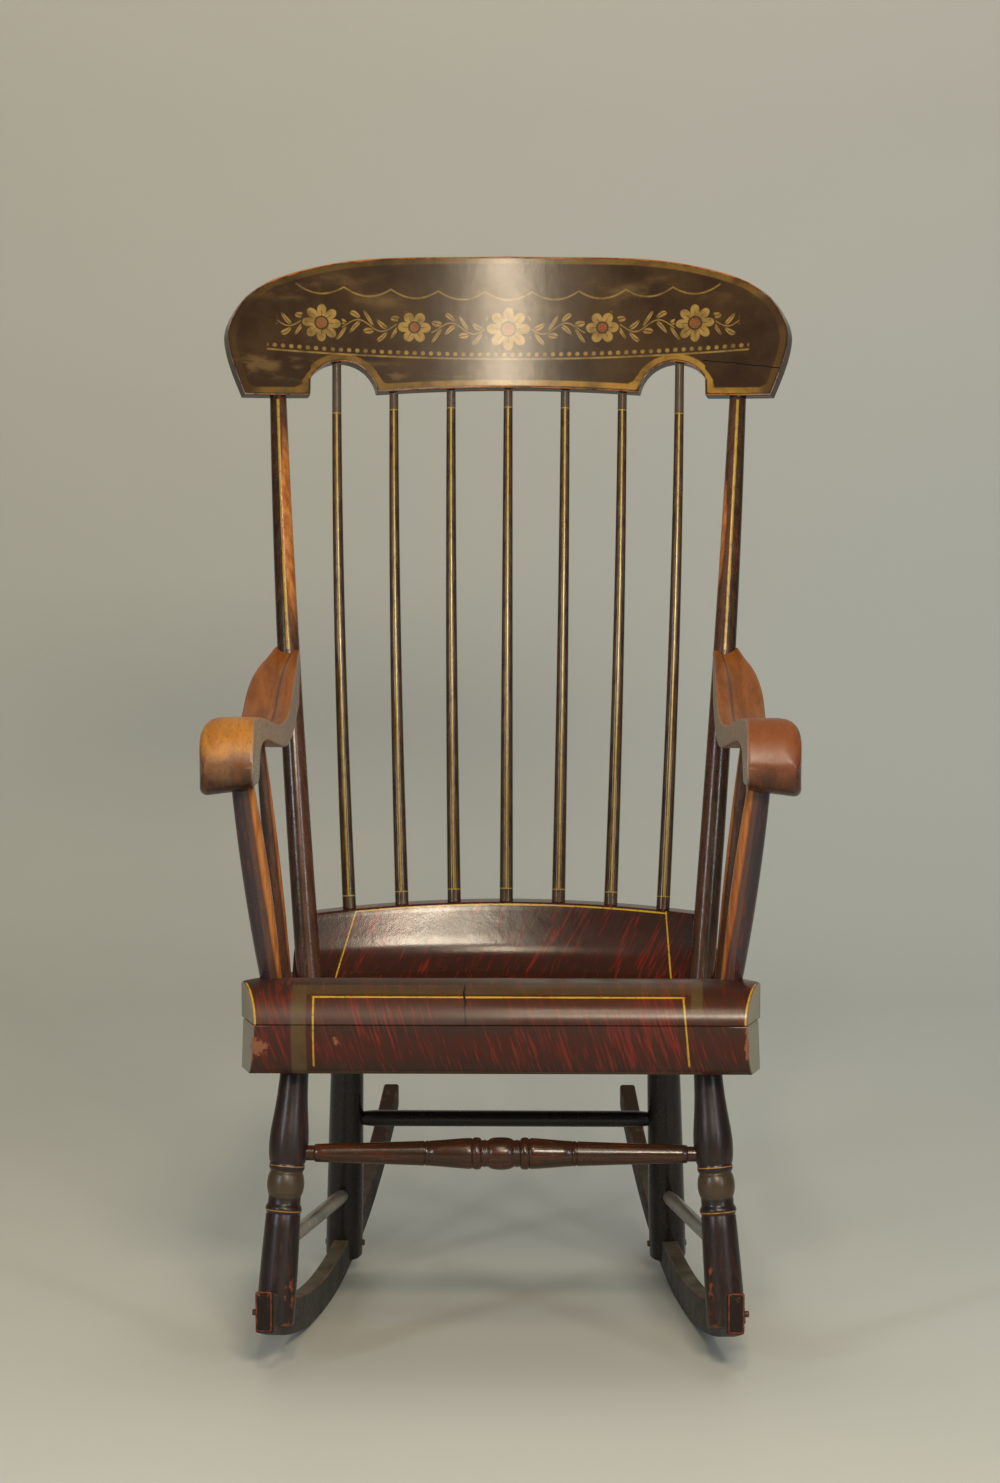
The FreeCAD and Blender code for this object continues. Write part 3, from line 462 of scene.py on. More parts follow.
def plank_loop():
    """The plank's side outline: up over the nose, back along the top, then forward underneath. It
    comes with the depth at which each of its points takes the seat's width."""
    nose = CROWN_DEPTH - NOSE_DEPTH
    depths = [CROWN_DEPTH - nose * math.cos(math.radians(turn)) for turn in range(2, 91, 8)]
    depths += [70.0, 84.0, 104.0, 130.0, 160.0, 195.0, 232.0, 268.0, 304.0, 340.0, 376.0, 412.0, 448.0,
               REAR_DEPTH]
    top = [(depth, plank_top(depth)) for depth in depths]
    low = [(depth, plank_under(depth)) for depth in depths]
    top[-1] = (REAR_DEPTH, REAR_HEIGHT - 1.5)
    low[0] = (NOSE_DEPTH + 1.2, NOSE_HEIGHT + 0.1)
    return top + low[::-1], depths + depths[::-1]


def seat_rings(loop, around):
    """Rings from end to end of the seat, rounded over at both ends."""
    def ring(share, inset, draw):
        shrunk = inset_loop(loop, END_ROUND * inset)
        return [place(share * (seat_half_width(depth) - END_ROUND * draw), spot[0], spot[1])
                for spot, depth in zip(shrunk, around)]

    angles = [math.radians(turn) for turn in (0.0, 30.0, 60.0, 90.0)]
    ends = [(1.0 - math.sin(angle), 1.0 - math.cos(angle)) for angle in angles]
    rings = [ring(-1.0, inset, draw) for inset, draw in ends]
    rings += [ring(-1.0 + 2.0 * step / SEAT_STEPS, 0.0, 1.0) for step in range(1, SEAT_STEPS)]
    return rings + [ring(1.0, inset, draw) for inset, draw in reversed(ends)]


def end_marks(edge, count):
    """The rubbed arris of each ring, and how far each ring takes the painted reflection of the end."""
    rubbed = {2: 0.8, 3: 0.7}
    # How far each end ring takes the painted reflection.
    bare = {0: 1.0, 1: 1.0, 2: 0.5}
    from_end = [min(i, count - 1 - i) for i in range(count)]
    arris = [[max(mark, rubbed.get(i, 0.0)) for mark in edge] for i in from_end]
    ends = [[bare.get(i, 0.0)] * len(edge) for i in from_end]
    return arris, ends


def edge_marks(count, worn):
    """One mark of wear for each point of an outline, 0 but where worn names it."""
    marks = [0.0] * count
    for number, mark in worn.items():
        marks[number] = mark
    return marks


def seat_strip(name, loop, around, worn, paint, node):
    """A strip of the seat, as wide as the seat is at each of its depths."""
    rings = seat_rings(loop, around)
    arris, ends = end_marks(edge_marks(len(loop), worn), len(rings))
    shape, rows = loft(rings, arris=arris, end=ends)
    close_pairs(shape, rows[0])
    close_pairs(shape, rows[-1])
    put_in_scene(name, shape, paint, [node])


loop, around = plank_loop()
back_edge = len(loop) // 2
seat_paint = seat_material("seat graining", math.radians(17), seat_lines,
                           (0.358, 0.383, (0.060, 0.020, 0.010, 1)),
                           wear=0.40, amount=0.45, gloss=(0.50, 0.28))
seat_strip("plank", loop, around, {0: 0.45, -1: 0.45, back_edge - 1: 0.3, back_edge: 0.3}, seat_paint,
           "seat_plank")


# Lower front roll: a second strip glued under the nose, with its own curved face that turns back
# under the seat. The glue joint between the two shows as a thin dark line.
ROLL_HEIGHT = 53.0
ROLL_SET_BACK = 20.0
ROLL_HEEL_DEPTH = 63.0


def roll_loop():
    foot = NOSE_HEIGHT - ROLL_HEIGHT
    face = []
    back = []
    for step in range(13):
        share = step / 12
        height = NOSE_HEIGHT - ROLL_HEIGHT * share
        depth = NOSE_DEPTH + ROLL_SET_BACK * (share * share * 0.8 + share * 0.2)
        face.append((depth, height))
        back.append((UNDER_START + (ROLL_HEEL_DEPTH - UNDER_START) * share, height))
    face[0] = (NOSE_DEPTH + 1.3, NOSE_HEIGHT)
    face.insert(1, (NOSE_DEPTH + 0.2, NOSE_HEIGHT - 1.3))
    back.insert(1, (UNDER_START + 0.2, NOSE_HEIGHT - 1.3))
    face[-1] = (face[-1][0] + 2.5, foot)
    face.insert(len(face) - 1, (face[-1][0] - 2.6, foot + 2.5))
    back.insert(len(back) - 1, (ROLL_HEEL_DEPTH, foot + 2.5))
    return face + back[::-1]


loop = roll_loop()
foot_edge = len(loop) // 2
roll_spots = [((-0.239, -0.335, 0.332), (0.014, 0.03, 0.013), 0.7),
              ((0.244, -0.335, 0.335), (0.0035, 0.03, 0.020), 0.9),
              ((-0.1625, -0.338, 0.338), (0.007, 0.02, 0.007), 0.6)]
roll_paint = seat_material("roll graining", math.radians(17), seat_lines,
                           (0.318, 0.346, (0.045, 0.005, 0.001, 1)),
                           wear=0.40, amount=0.45, gloss=(0.34, 0.34), spots=roll_spots)
seat_strip("front_roll", loop, [depth for depth, height in loop],
           {0: 0.5, 1: 0.5, foot_edge - 2: 0.35, foot_edge - 1: 0.35}, roll_paint, "seat_front_roll")


# Riser: a strip bent to the curve of the back and glued on the rear of the plank. Its front is
# coved into the seat, its top is crowned and its ends are rounded down. The spindles stand in it.
RISER_TOP = 403.0
RISER_FOOT = 326.6
RISER_AXIS = -360.0
RISER_ANGLE = math.radians(17.0)
RISER_LEAN = math.tan(RISER_ANGLE)
RISER_BOW = 812.0
RISER_BACK_TOP = 836.05
COVE = 45.0
COVE_FOOT = 330.0
COVE_TOP = COVE_FOOT + COVE * (1.0 - math.sin(RISER_ANGLE))
SHOULDER = 202.0
SHOULDER_HEIGHT = 395.0
RISER_HALF = 226.2


def riser_front(height):
    edge_radius = RISER_BOW - (RISER_TOP - COVE_TOP) * RISER_LEAN
    centre = edge_radius - COVE * math.cos(RISER_ANGLE)
    if height >= COVE_TOP:
        return RISER_BOW - (RISER_TOP - height) * RISER_LEAN
    if height <= COVE_FOOT:
        return centre
    return centre + math.sqrt(COVE ** 2 - (COVE_FOOT + COVE - height) ** 2)


def riser_back(height):
    return RISER_BACK_TOP - (RISER_TOP - height) * RISER_LEAN


def riser_top(x):
    away = abs(x)
    if away <= SHOULDER:
        return RISER_TOP - (RISER_TOP - SHOULDER_HEIGHT) * (away / SHOULDER) ** 2
    share = (away - SHOULDER) / (RISER_HALF - SHOULDER)
    return SHOULDER_HEIGHT - 49.0 * (1.0 - math.sqrt(max(0.0, 1.0 - share * share)))


def riser_ring(x):
    """The riser's section at x: up its coved face, over its eased top and down its back."""
    top = riser_top(x)
    tall = top - RISER_FOOT
    face = [RISER_FOOT + tall * share for share in (0.0, 0.045, 0.07, 0.12, 0.18, 0.26, 0.36, 0.46, 0.6,
                                                    0.75, 0.88)]
    face.append(top - 2.0)
    points = [(riser_front(height), height) for height in face]
    points += [(riser_front(top) + 0.7, top - 0.6), (riser_front(top) + 2.2, top)]
    points += [(riser_back(top) - 2.2, top), (riser_back(top) - 0.5, top - 0.7)]
    points += [(riser_back(height), height) for height in (top - 2.5, RISER_FOOT + tall * 0.5, RISER_FOOT)]
    return [place(x, RISER_AXIS + math.sqrt(radius ** 2 - x * x), height) for radius, height in points]


rings = [riser_ring(RISER_HALF * math.sin(math.radians(turn))) for turn in range(-90, 91, 4)]
edge = edge_marks(len(rings[0]), {11: 0.45, 12: 0.45, 13: 0.45, 14: 0.5, 15: 0.5})
riser, rows = loft(rings, arris=[edge] * len(rings), end=[[0.0] * len(edge)] * len(rings))
close_end(riser, rows[0])
close_end(riser, rows[-1])


def riser_lines(point):
    """Masks of the yellow line along the top and of the two that fall to the seat, on the front only."""
    x, y, z = axes(point)
    crown = times(x, x, -0.196)
    level = minus(minus(z, 0.4003), crown)
    top = times(draw_line(point, level, 0.0008), between(x, -0.1612, 0.1718, 0.0007))
    fall = minus(0.3955, z)
    left = plus(x, scaled(fall, 0.312, 0.1605))
    right = minus(x, scaled(fall, 0.076, 0.171))
    sides = larger(draw_line(point, left, 0.0008), draw_line(point, right, 0.0008))
    sides = times(sides, ramp(z, 0.3970, 0.3955))
    in_front = ramp(axes(point.node.outputs["Normal"])[1], 0.1, -0.1)
    return times(larger(top, sides), in_front), None, None


riser_paint = seat_material("riser graining", math.radians(-28), riser_lines,
                            (0.340, 0.375, (0.034, 0.012, 0.007, 1)),
                            wear=0.2, amount=0.42, gloss=(0.2, 0.2))
put_in_scene("riser", riser, riser_paint, ["seat_riser"])


# Front legs: turned in maple, with a vase top, two rings and a ball picked out by gold lines, and
# a long shank. The foot is slotted and stands astride the runner, held by a wooden pin.
def turned(name, profile, start, end, around, material, nodes):
    """Spin a list of distances and radii about the line from start to end."""
    shape = bmesh.new()
    verts = [shape.verts.new((radius * MM, 0.0, distance * MM)) for distance, radius in profile]
    edges = [shape.edges.new(pair) for pair in zip(verts, verts[1:])]
    bmesh.ops.spin(shape, geom=verts + edges, cent=(0, 0, 0), axis=(0, 0, 1), dvec=(0, 0, 0),
                   angle=2 * math.pi, steps=around, use_merge=True)
    bmesh.ops.remove_doubles(shape, verts=shape.verts, dist=0.00002)
    along = shape.verts.layers.float.new("along")
    for vert in shape.verts:
        vert[along] = vert.co.z
    way = (end - start).normalized()
    across = Vector((0, 0, 1)) if abs(way.x) > 0.7 else Vector((1, 0, 0))
    side = (across - way * way.dot(across)).normalized()
    turn = Matrix((side, way.cross(side), way)).transposed().to_4x4()
    bmesh.ops.transform(shape, matrix=Matrix.Translation(start) @ turn, verts=shape.verts)
    put_in_scene(name, shape, material, nodes, sharp=50.0, weighted=False)


def arc_steps(start, middle, end, count):
    """Points on the parabola through three pairs of a distance and a radius."""
    shares = [step / count for step in range(count + 1)]
    return [tuple(2 * (s - 0.5) * (s - 1) * a + 4 * s * (1 - s) * b + 2 * s * (s - 0.5) * c
                  for a, b, c in zip(start, middle, end)) for s in shares]


def paint_material(name, line_marks=(), wear=0.3, amount=0.35, gloss=0.16, dark=BLACK_PAINT, red=RED_GROUND,
                   spots=(), bump=0.12, lying=False, ball=None):
    """Painted turning: graining along it, gold lines at marks along the piece, and rubbed places."""
    material, tree, shader, point = new_material(name)
    turn = (0.0, 0.0, math.radians(90)) if lying else (math.radians(90), 0.0, 0.0)
    colour = grained(stretched(point, turn=turn), dark, red, amount)
    along = attribute(tree, "along")
    if ball is not None:
        low, high, tint = ball
        colour = mix(times(between(along, low, high, 0.002), 0.8), colour, tint)
    for mark, half_width in line_marks:
        line = draw_line(point, minus(along, mark), half_width)
        colour = mix(line, colour, (0.30, 0.14, 0.025, 1))
    rubbed = rubbed_wood(point, 0.0, wear, spots)
    colour = mix(rubbed, colour, (0.18, 0.045, 0.018, 1))
    finish_surface(shader, point, colour, gloss=gloss, dust=0.08, bump=bump)
    return material


FRONT_LEG_TOP = (203.0, 90.0)
FRONT_LEG_FOOT = (226.5, 46.0, 43.5)
front_leg_top_height = plank_under(FRONT_LEG_TOP[1])
leg_rise = front_leg_top_height - FRONT_LEG_FOOT[2]
leg_run = (Vector((*FRONT_LEG_TOP, front_leg_top_height)) - Vector(FRONT_LEG_FOOT)).length
leg_stretch = leg_run / leg_rise


def on_leg(height):
    return (height - FRONT_LEG_FOOT[2]) * leg_stretch


def front_leg_profile():
    heights = [(43.5, 0.0), (43.5, 16.6), (43.8, 17.8), (45.2, 19.3)]
    heights += arc_steps((46.5, 19.4), (100.0, 18.9), (152.0, 17.4), 8)
    heights += [(153.2, 17.0), (154.2, 17.0)]
    heights += arc_steps((155.0, 17.4), (158.2, 18.4), (161.4, 17.4), 6)
    heights += [(162.6, 16.6), (163.6, 16.3), (170.8, 16.3), (172.0, 16.5)]
    heights += arc_steps((172.4, 16.9), (183.0, 18.7), (193.6, 16.9), 10)
    heights += [(194.2, 16.3), (195.6, 16.2), (196.6, 16.6), (197.4, 17.3)]
    heights += arc_steps((198.0, 17.5), (200.4, 17.9), (202.8, 17.5), 4)
    heights += [(203.6, 17.2), (206.0, 18.3), (212.0, 19.2), (219.0, 19.65), (227.0, 19.7), (236.0, 19.1),
                (246.0, 17.9), (258.0, 16.5), (270.0, 15.4), (285.0, 14.5), (305.0, 14.0), (330.0, 13.8),
                (front_leg_top_height + 1.5, 13.8), (front_leg_top_height + 1.5, 0.0)]
    return [(on_leg(height), radius) for height, radius in heights]


leg_lines = [(on_leg(156.6) * MM, 0.0006), (on_leg(201.2) * MM, 0.0005)]
leg_ball = (on_leg(170.0) * MM, on_leg(196.0) * MM, (0.060, 0.040, 0.020, 1))
leg_spots = [((side * 0.2265, -0.312, 0.046), (0.026, 0.026, 0.005), 0.8) for side in (-1, 1)]
leg_spots += [((side * 0.210, -0.318, 0.085), (0.006, 0.02, 0.05), 0.3) for side in (-1, 1)]
leg_paint = paint_material("front leg paint", leg_lines, wear=0.3, amount=0.62, gloss=0.31, ball=leg_ball,
                           dark=(0.013, 0.008, 0.0075, 1), red=(0.038, 0.014, 0.008, 1), spots=leg_spots)
for side, name in ((-1, "left"), (1, "right")):
    foot = place(side * FRONT_LEG_FOOT[0], FRONT_LEG_FOOT[1], FRONT_LEG_FOOT[2])
    top = place(side * FRONT_LEG_TOP[0], FRONT_LEG_TOP[1], front_leg_top_height)
    turned(name + "_vase_leg", front_leg_profile(), foot, top, 40, leg_paint,
           [name + "_front_leg"])


# Rear legs: plain turned legs that swell a little to the foot, slotted over the runner in the same
# way. They rake back and lean in slightly.
REAR_LEG_TOP = (166.5, 374.0)
REAR_LEG_FOOT = (174.5, 430.0, 20.5)
rear_leg_top_height = plank_under(REAR_LEG_TOP[1])
rear_leg_paint = paint_material("rear leg paint", wear=0.2, amount=0.5, gloss=0.24,
                                dark=(0.009, 0.007, 0.006, 1),
                                red=(0.030, 0.014, 0.009, 1))
for side, name in ((-1, "left"), (1, "right")):
    foot = place(side * REAR_LEG_FOOT[0], REAR_LEG_FOOT[1], REAR_LEG_FOOT[2])
    top = place(side * REAR_LEG_TOP[0], REAR_LEG_TOP[1], rear_leg_top_height)
    length = (top - foot).length / MM
    profile = [(0.0, 0.0), (0.0, 16.8), (0.6, 18.2), (2.0, 19.3), (4.0, 19.6)]
    profile += [(length * share, radius) for share, radius in
                ((0.12, 19.6), (0.25, 19.3), (0.38, 18.8), (0.5, 18.5), (0.62, 18.0), (0.75, 17.4),
                 (0.85, 16.5), (0.93, 15.7), (1.0, 15.1))]
    profile += [(length + 1.5, 15.0), (length + 1.5, 0.0)]
    turned(name + "_plain_leg", profile, foot, top, 36, rear_leg_paint,
           [name + "_rear_leg"])


# Front stretcher: the show piece of the underframe, turned with a ball between two beads in the
# middle, long tapering ends with an incised line, and small collars where it enters the legs.
def leg_point(foot, top, height):
    share = (height - foot[2]) / (top[2] - foot[2])
    return [a + (b - a) * share for a, b in zip(foot, top)]


front_leg_axis = (FRONT_LEG_FOOT, (FRONT_LEG_TOP[0], FRONT_LEG_TOP[1], front_leg_top_height))
rear_leg_axis = (REAR_LEG_FOOT, (REAR_LEG_TOP[0], REAR_LEG_TOP[1], rear_leg_top_height))
joint = leg_point(*front_leg_axis, 213.5)
half = joint[0] - 14.0
side_profile = [(half, 0.0), (half, 7.6), (joint[0] - 26.0, 7.6), (joint[0] - 26.5, 8.2),
                (joint[0] - 27.5, 9.1), (180.0, 9.35), (160.0, 9.85), (140.0, 10.4), (120.0, 11.0),
                (100.0, 11.7), (80.0, 12.4), (76.9, 12.5), (76.4, 11.7), (75.6, 11.7), (75.1, 12.6),
                (72.6, 12.7), (72.0, 12.1), (71.4, 12.7), (62.0, 13.3), (50.0, 14.3), (40.0, 15.1),
                (34.0, 15.5), (30.5, 15.6), (29.2, 15.3), (28.6, 14.6), (27.8, 15.3), (26.6, 16.0),
                (24.0, 16.3), (21.4, 15.9), (20.2, 15.2), (19.5, 14.0), (18.6, 13.3), (17.2, 13.4),
                (16.6, 13.9), (15.8, 13.9), (15.0, 13.3), (13.2, 13.3), (12.2, 14.0), (10.0, 15.2),
                (7.0, 16.0), (3.5, 16.3)]
profile = [(-distance, radius) for distance, radius in side_profile] + [(0.0, 16.35)]
profile += [(distance, radius) for distance, radius in reversed(side_profile)]
stretcher_paint = paint_material(
    "front stretcher paint", wear=0.34, amount=0.6, gloss=0.2, dark=(0.028, 0.0125, 0.006, 1),
    red=(0.105, 0.021, 0.006, 1), lying=True)
turned("front_stretcher_turning", [(distance + half, radius) for distance, radius in profile],
       place(-half, joint[1], joint[2]), place(half, joint[1], joint[2]), 40, stretcher_paint,
       ["front_stretcher"])


# Rear and side stretchers: plain sticks, tapered at both ends into the legs.
def plain_stick(name, start, end, radius, end_radius, taper, material, nodes):
    length = (end - start).length / MM
    shares = [step / 6 for step in range(1, 7)]
    swell = [(taper * share, end_radius + (radius - end_radius) * math.sin(share * math.pi / 2))
             for share in shares]
    profile = [(0.0, 0.0), (0.0, end_radius)] + swell
    profile += [(length * share, radius) for share in (0.35, 0.5, 0.65)]
    profile += [(length - along, reach) for along, reach in reversed(swell)]
    profile += [(length, end_radius), (length, 0.0)]
    turned(name, profile, start, end, 24, material, nodes)


stick_paint = paint_material("rear stretcher paint", lying=True, wear=0.2, amount=0.4, gloss=0.26,
                             dark=(0.007, 0.006, 0.005, 1), red=(0.022, 0.012, 0.008, 1))
side_stick_paint = paint_material("side stretcher paint", wear=0.3, amount=0.75, gloss=0.3,
                                  dark=(0.20, 0.172, 0.137, 1), red=(0.31, 0.27, 0.215, 1), bump=0.3)
rear_joint = leg_point(*rear_leg_axis, 177.5)
start = place(-rear_joint[0] + 12, rear_joint[1], rear_joint[2])
end = place(rear_joint[0] - 12, rear_joint[1], rear_joint[2])
plain_stick("rear_stretcher_stick", start, end, 8.7, 6.6, 22.0, stick_paint, ["rear_stretcher"])
low_front = leg_point(*front_leg_axis, 121.0)
low_rear = leg_point(*rear_leg_axis, 91.0)
for side, name in ((-1, "left"), (1, "right")):
    start = place(side * low_front[0], low_front[1], low_front[2])
    end = place(side * low_rear[0], low_rear[1], low_rear[2])
    way = (end - start).normalized()
    plain_stick(name + "_side_stick", start + way * 0.010, end - way * 0.010, 7.6, 6.3, 40.0,
                side_stick_paint, [name + "_side_stretcher"])


# Runners: sawn from a board to a long arc, deepest in front, toed in to the back. Their top edges
# and tips are rubbed through to the wood.
RUNNER_RADIUS = 855.0
RUNNER_LOW = 276.5
TOE_IN = 0.142
RUNNER_LENGTH = 712.0


def runner_under(depth):
    run = (depth - RUNNER_LOW) * math.sqrt(1 + TOE_IN ** 2)
    return RUNNER_RADIUS - math.sqrt(RUNNER_RADIUS ** 2 - run ** 2)


def arc_height(at, marks, side):
    """Height on the circle through three marks: on its lower side, -1, or on its upper side, 1."""
    (x1, z1), (x2, z2), (x3, z3) = marks
    far1, far2, far3 = x1 * x1 + z1 * z1, x2 * x2 + z2 * z2, x3 * x3 + z3 * z3
    spread = 2 * (x1 * (z2 - z3) + x2 * (z3 - z1) + x3 * (z1 - z2))
    centre_x = (far1 * (z2 - z3) + far2 * (z3 - z1) + far3 * (z1 - z2)) / spread
    centre_z = (far1 * (x3 - x2) + far2 * (x1 - x3) + far3 * (x2 - x1)) / spread
    radius = math.hypot(x1 - centre_x, z1 - centre_z)
    return centre_z + side * math.sqrt(max(0.0, radius ** 2 - (at - centre_x) ** 2))


runner_top_marks = ((0.0, runner_under(0.0) + 42.0), (RUNNER_LOW, 34.0),
                    (RUNNER_LENGTH, runner_under(RUNNER_LENGTH) + 27.5))


def runner_ring(depth, side, inset):
    """The runner's section, with all four corners eased, drawn in on all sides by the inset."""
    centre = 234.5 - TOE_IN * depth
    low = runner_under(depth) + inset
    if depth > RUNNER_LENGTH - 8.0:
        low += 6.0 * ((depth - RUNNER_LENGTH + 8.0) / 8.0) ** 2
    high = arc_height(depth, runner_top_marks, -1) - inset
    half = 8.5 - inset
    bend = 2.2
    points = []
    for across, up, start in ((half, high, 0.0), (-half, high, 90.0), (-half, low, 180.0),
                              (half, low, 270.0)):
        cx = across - math.copysign(bend, across)
        cz = up - bend if up == high else up + bend
        for turn in (0.0, 30.0, 60.0, 90.0):
            angle = math.radians(start + turn)
            points.append(place(side * (centre + cx + bend * math.cos(angle)), depth,
                                cz + bend * math.sin(angle)))
    return points


runner_material, tree, shader, point = new_material("runner paint")
body = grained(stretched(point, (1.0, 0.1, 1.0)), (0.040, 0.036, 0.031, 1), (0.075, 0.066, 0.056, 1), 0.8)
# The top face is lighter than the sides, in a mottle.
top_mottle = ramp(noise(point, 30.0, 5.0, 0.65), 0.3, 0.7)
upper = mix(top_mottle, (0.062, 0.045, 0.026, 1), (0.125, 0.098, 0.066, 1))
colour = mix(attribute(tree, "upper"), body, upper)
reach = axes(point)[1]
colour = mix(ramp(reach, 0.10, 0.30), colour, (0.040, 0.022, 0.013, 1))
colour = mix(ramp(reach, -0.345, -0.3535), colour, (0.012, 0.006, 0.004, 1))
tip = ramp(attribute(tree, "tip"), 0.72, 0.92)
chips = scaled(ramp(noise(point, 160.0, 4.0, 0.6), 0.35, 0.6), 0.7, 0.3)
rubbed = rubbed_wood(point, attribute(tree, "arris"), 0.42)
colour = mix(times(rubbed, 0.7), colour, (0.17, 0.09, 0.05, 1))
colour = mix(times(tip, chips), colour, (0.16, 0.034, 0.014, 1))
finish_surface(shader, point, colour, gloss=0.55, dust=0.2, bump=0.3)
shader.inputs["IOR"].default_value = 1.3
for side, name in ((-1, "left"), (1, "right")):
    depths_here = [(0.0, 3.8), (0.0, 1.6), (0.5, 0.5), (1.6, 0.0), (4.0, 0.0)]
    depths_here += [(2.0 + (RUNNER_LENGTH - 4.0) * step / 60, 0.0) for step in range(1, 60)]
    depths_here += [(RUNNER_LENGTH - 2.0, 0.0), (RUNNER_LENGTH - 0.6, 0.6), (RUNNER_LENGTH, 2.0)]
    corner = [0.6, 0.9, 0.9, 0.6, 0.6, 0.9, 0.9, 0.6, 0.3, 0.45, 0.45, 0.3, 0.3, 0.45, 0.45, 0.3]
    on_top = [0.0, 0.5, 1.0, 1.0, 1.0, 1.0, 0.5, 0.0] + [0.0] * 8
    count = len(depths_here)
    tips = [[{1: 1.0, 2: 0.9, 3: 0.4}.get(i, 0.0)] * 16 for i in range(count)]
    runner, rows = loft([runner_ring(depth, side, inset) for depth, inset in depths_here],
                        arris=[corner] * count, upper=[on_top] * count, tip=tips)
    close_end(runner, rows[0])
    close_end(runner, rows[-1])
    put_in_scene(name + "_runner", runner, runner_material, [name + "_rocker"])


# Pins: small hardwood pegs driven through the legs and runners, and through the crest into the
# tops of the stiles. They keep their modelled shape and get the worn peg finish.
peg_material, tree, shader, point = new_material("peg wood")
fibres = noise(stretched(point, (0.2, 1.0, 1.0)), 900.0, 3.0)
colour = mix(ramp(fibres, 0.35, 0.65), (0.035, 0.018, 0.011, 1), (0.12, 0.055, 0.03, 1))
finish_surface(shader, point, colour, gloss=0.4, dust=0.2, bump=0.3)
for name in ("rocker_pins", "crest_pins"):
    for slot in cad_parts[name].material_slots:
        slot.material = peg_material


# Back stiles: the two outer rods of the back, bent at the height of the arms, thick below and
# drawn in to a tenon under the crest. A yellow line runs down the front above the arm.
def bent_stations(foot, middle, top, radii, steps):
    """Stations of a rod along the parabola through three points."""
    first = (middle - foot).length
    at = first / (first + (top - middle).length)

    def spot(s):
        return (foot * ((s - at) * (s - 1) / at) + middle * (s * (s - 1) / (at * (at - 1)))
                + top * (s * (s - at) / (1 - at)))

    bulge = radii[1] - (radii[0] + radii[2]) / 2
    stations = []
    for step in range(steps + 1):
        s = step / steps
        way = (spot(s + 0.001) - spot(s - 0.001)).normalized()
        radius = radii[0] + (radii[2] - radii[0]) * s + bulge * 4 * s * (1 - s)
        stations.append((spot(s), way, radius * MM))
    return stations


def rod(name, stations, around, inner_side, material, nodes):
    """Skin a rod. Its marks say how far round from its front line, and from the sitter, each point is."""
    rings = []
    marks = {"from_front": [], "front": [], "inner": [], "along": []}
    travelled = 0.0
    last = stations[0][0]
    turns = [2 * math.pi * step / around for step in range(around)]
    for centre, way, radius in stations:
        side = (Vector((1, 0, 0)) - way * way.x).normalized()
        ahead = side.cross(way)
        travelled += (centre - last).length
        last = centre
        rings.append([centre + (ahead * math.cos(turn) + side * math.sin(turn)) * radius for turn in turns])
        marks["from_front"].append([radius * min(turn, 2 * math.pi - turn) for turn in turns])
        marks["front"].append([math.cos(turn) for turn in turns])
        marks["inner"].append([math.sin(turn) * inner_side for turn in turns])
        marks["along"].append([travelled] * around)
    shape, rows = loft(rings, **marks)
    close_end(shape, rows[0])
    close_end(shape, rows[-1])
    put_in_scene(name, shape, material, nodes, sharp=60.0, weighted=False)


def rod_material(name, dark=BLACK_PAINT, red=(0.10, 0.022, 0.014, 1), amount=0.5, stripe=None, rings=(),
                 strip=None, flush=None, olive_front_sheen=0.0, bare_top=None, gloss=0.2):
    """Painted rod, with its yellow line and rings, a painted olive highlight down its front, and a strip
    rubbed to the wood towards the sitter.
    """
    material, tree, shader, point = new_material(name)
    colour = grained(stretched(point, turn=(math.radians(90), 0.0, 0.0)), dark, red, amount)
    along = attribute(tree, "along")
    inner = attribute(tree, "inner")
    front = attribute(tree, "front")
    drawn_out = stretched(point, (1.0, 1.0, 0.1))
    fibres = noise(drawn_out, 170.0, 4.0, 0.6)
    # Painted highlight: the front of the rod is lighter olive-brown, broken up along the fibres.
    if olive_front_sheen > 0.0:
        worn = scaled(ramp(fibres, 0.35, 0.62), 0.75, 0.25)
        worn = times(worn, times(ramp(front, 0.45, 0.85), olive_front_sheen))
        colour = mix(worn, colour, (0.095, 0.062, 0.026, 1))
    if flush is not None:
        blush = times(ramp(inner, flush[0] - 0.12, flush[0] + 0.05), flush[1],
                      scaled(ramp(fibres, 0.3, 0.65), 0.6, 0.4))
        colour = mix(blush, colour, (0.095, 0.042, 0.024, 1))
    if bare_top is not None:
        pale = times(ramp(along, bare_top - 0.001, bare_top + 0.002), 0.7)
        colour = mix(pale, colour, (0.078, 0.060, 0.047, 1))
    gold = None
    if stripe is not None:
        low, high, half_width = stripe
        line = draw_line(point, attribute(tree, "from_front"), half_width)
        gold = times(line, between(along, low, high))
    for mark, half_width in rings:
        line = draw_line(point, minus(along, mark), half_width)
        gold = line if gold is None else larger(gold, line)
    if gold is not None:
        colour = mix(gold, colour, (0.32, 0.20, 0.020, 1))
    if strip is not None:
        edge, low, high, soft, taper = strip
        middle, half = (low + high) / 2, (high - low) / 2
        off = calc("DIVIDE", minus(along, middle), half)
        border = scaled(times(off, off), taper, edge)
        wobble = times(minus(noise(drawn_out, 55.0, 3.0), 0.5), 0.35)
        over = minus(plus(inner, wobble), border)
        bare = times(ramp(over, -0.02, 0.05), between(along, low, high, soft), ramp(fibres, 0.24, 0.36))
        redder = times(ramp(over, 0.22, 0.02), 0.75)
        wood = mix(ramp(fibres, 0.35, 0.65), (0.28, 0.085, 0.022, 1), (0.46, 0.19, 0.045, 1))
        wood = mix(redder, wood, (0.20, 0.042, 0.018, 1))
        colour = mix(bare, colour, wood)
    finish_surface(shader, point, colour, gloss=gloss, dust=0.12, bump=0.16)
    return material


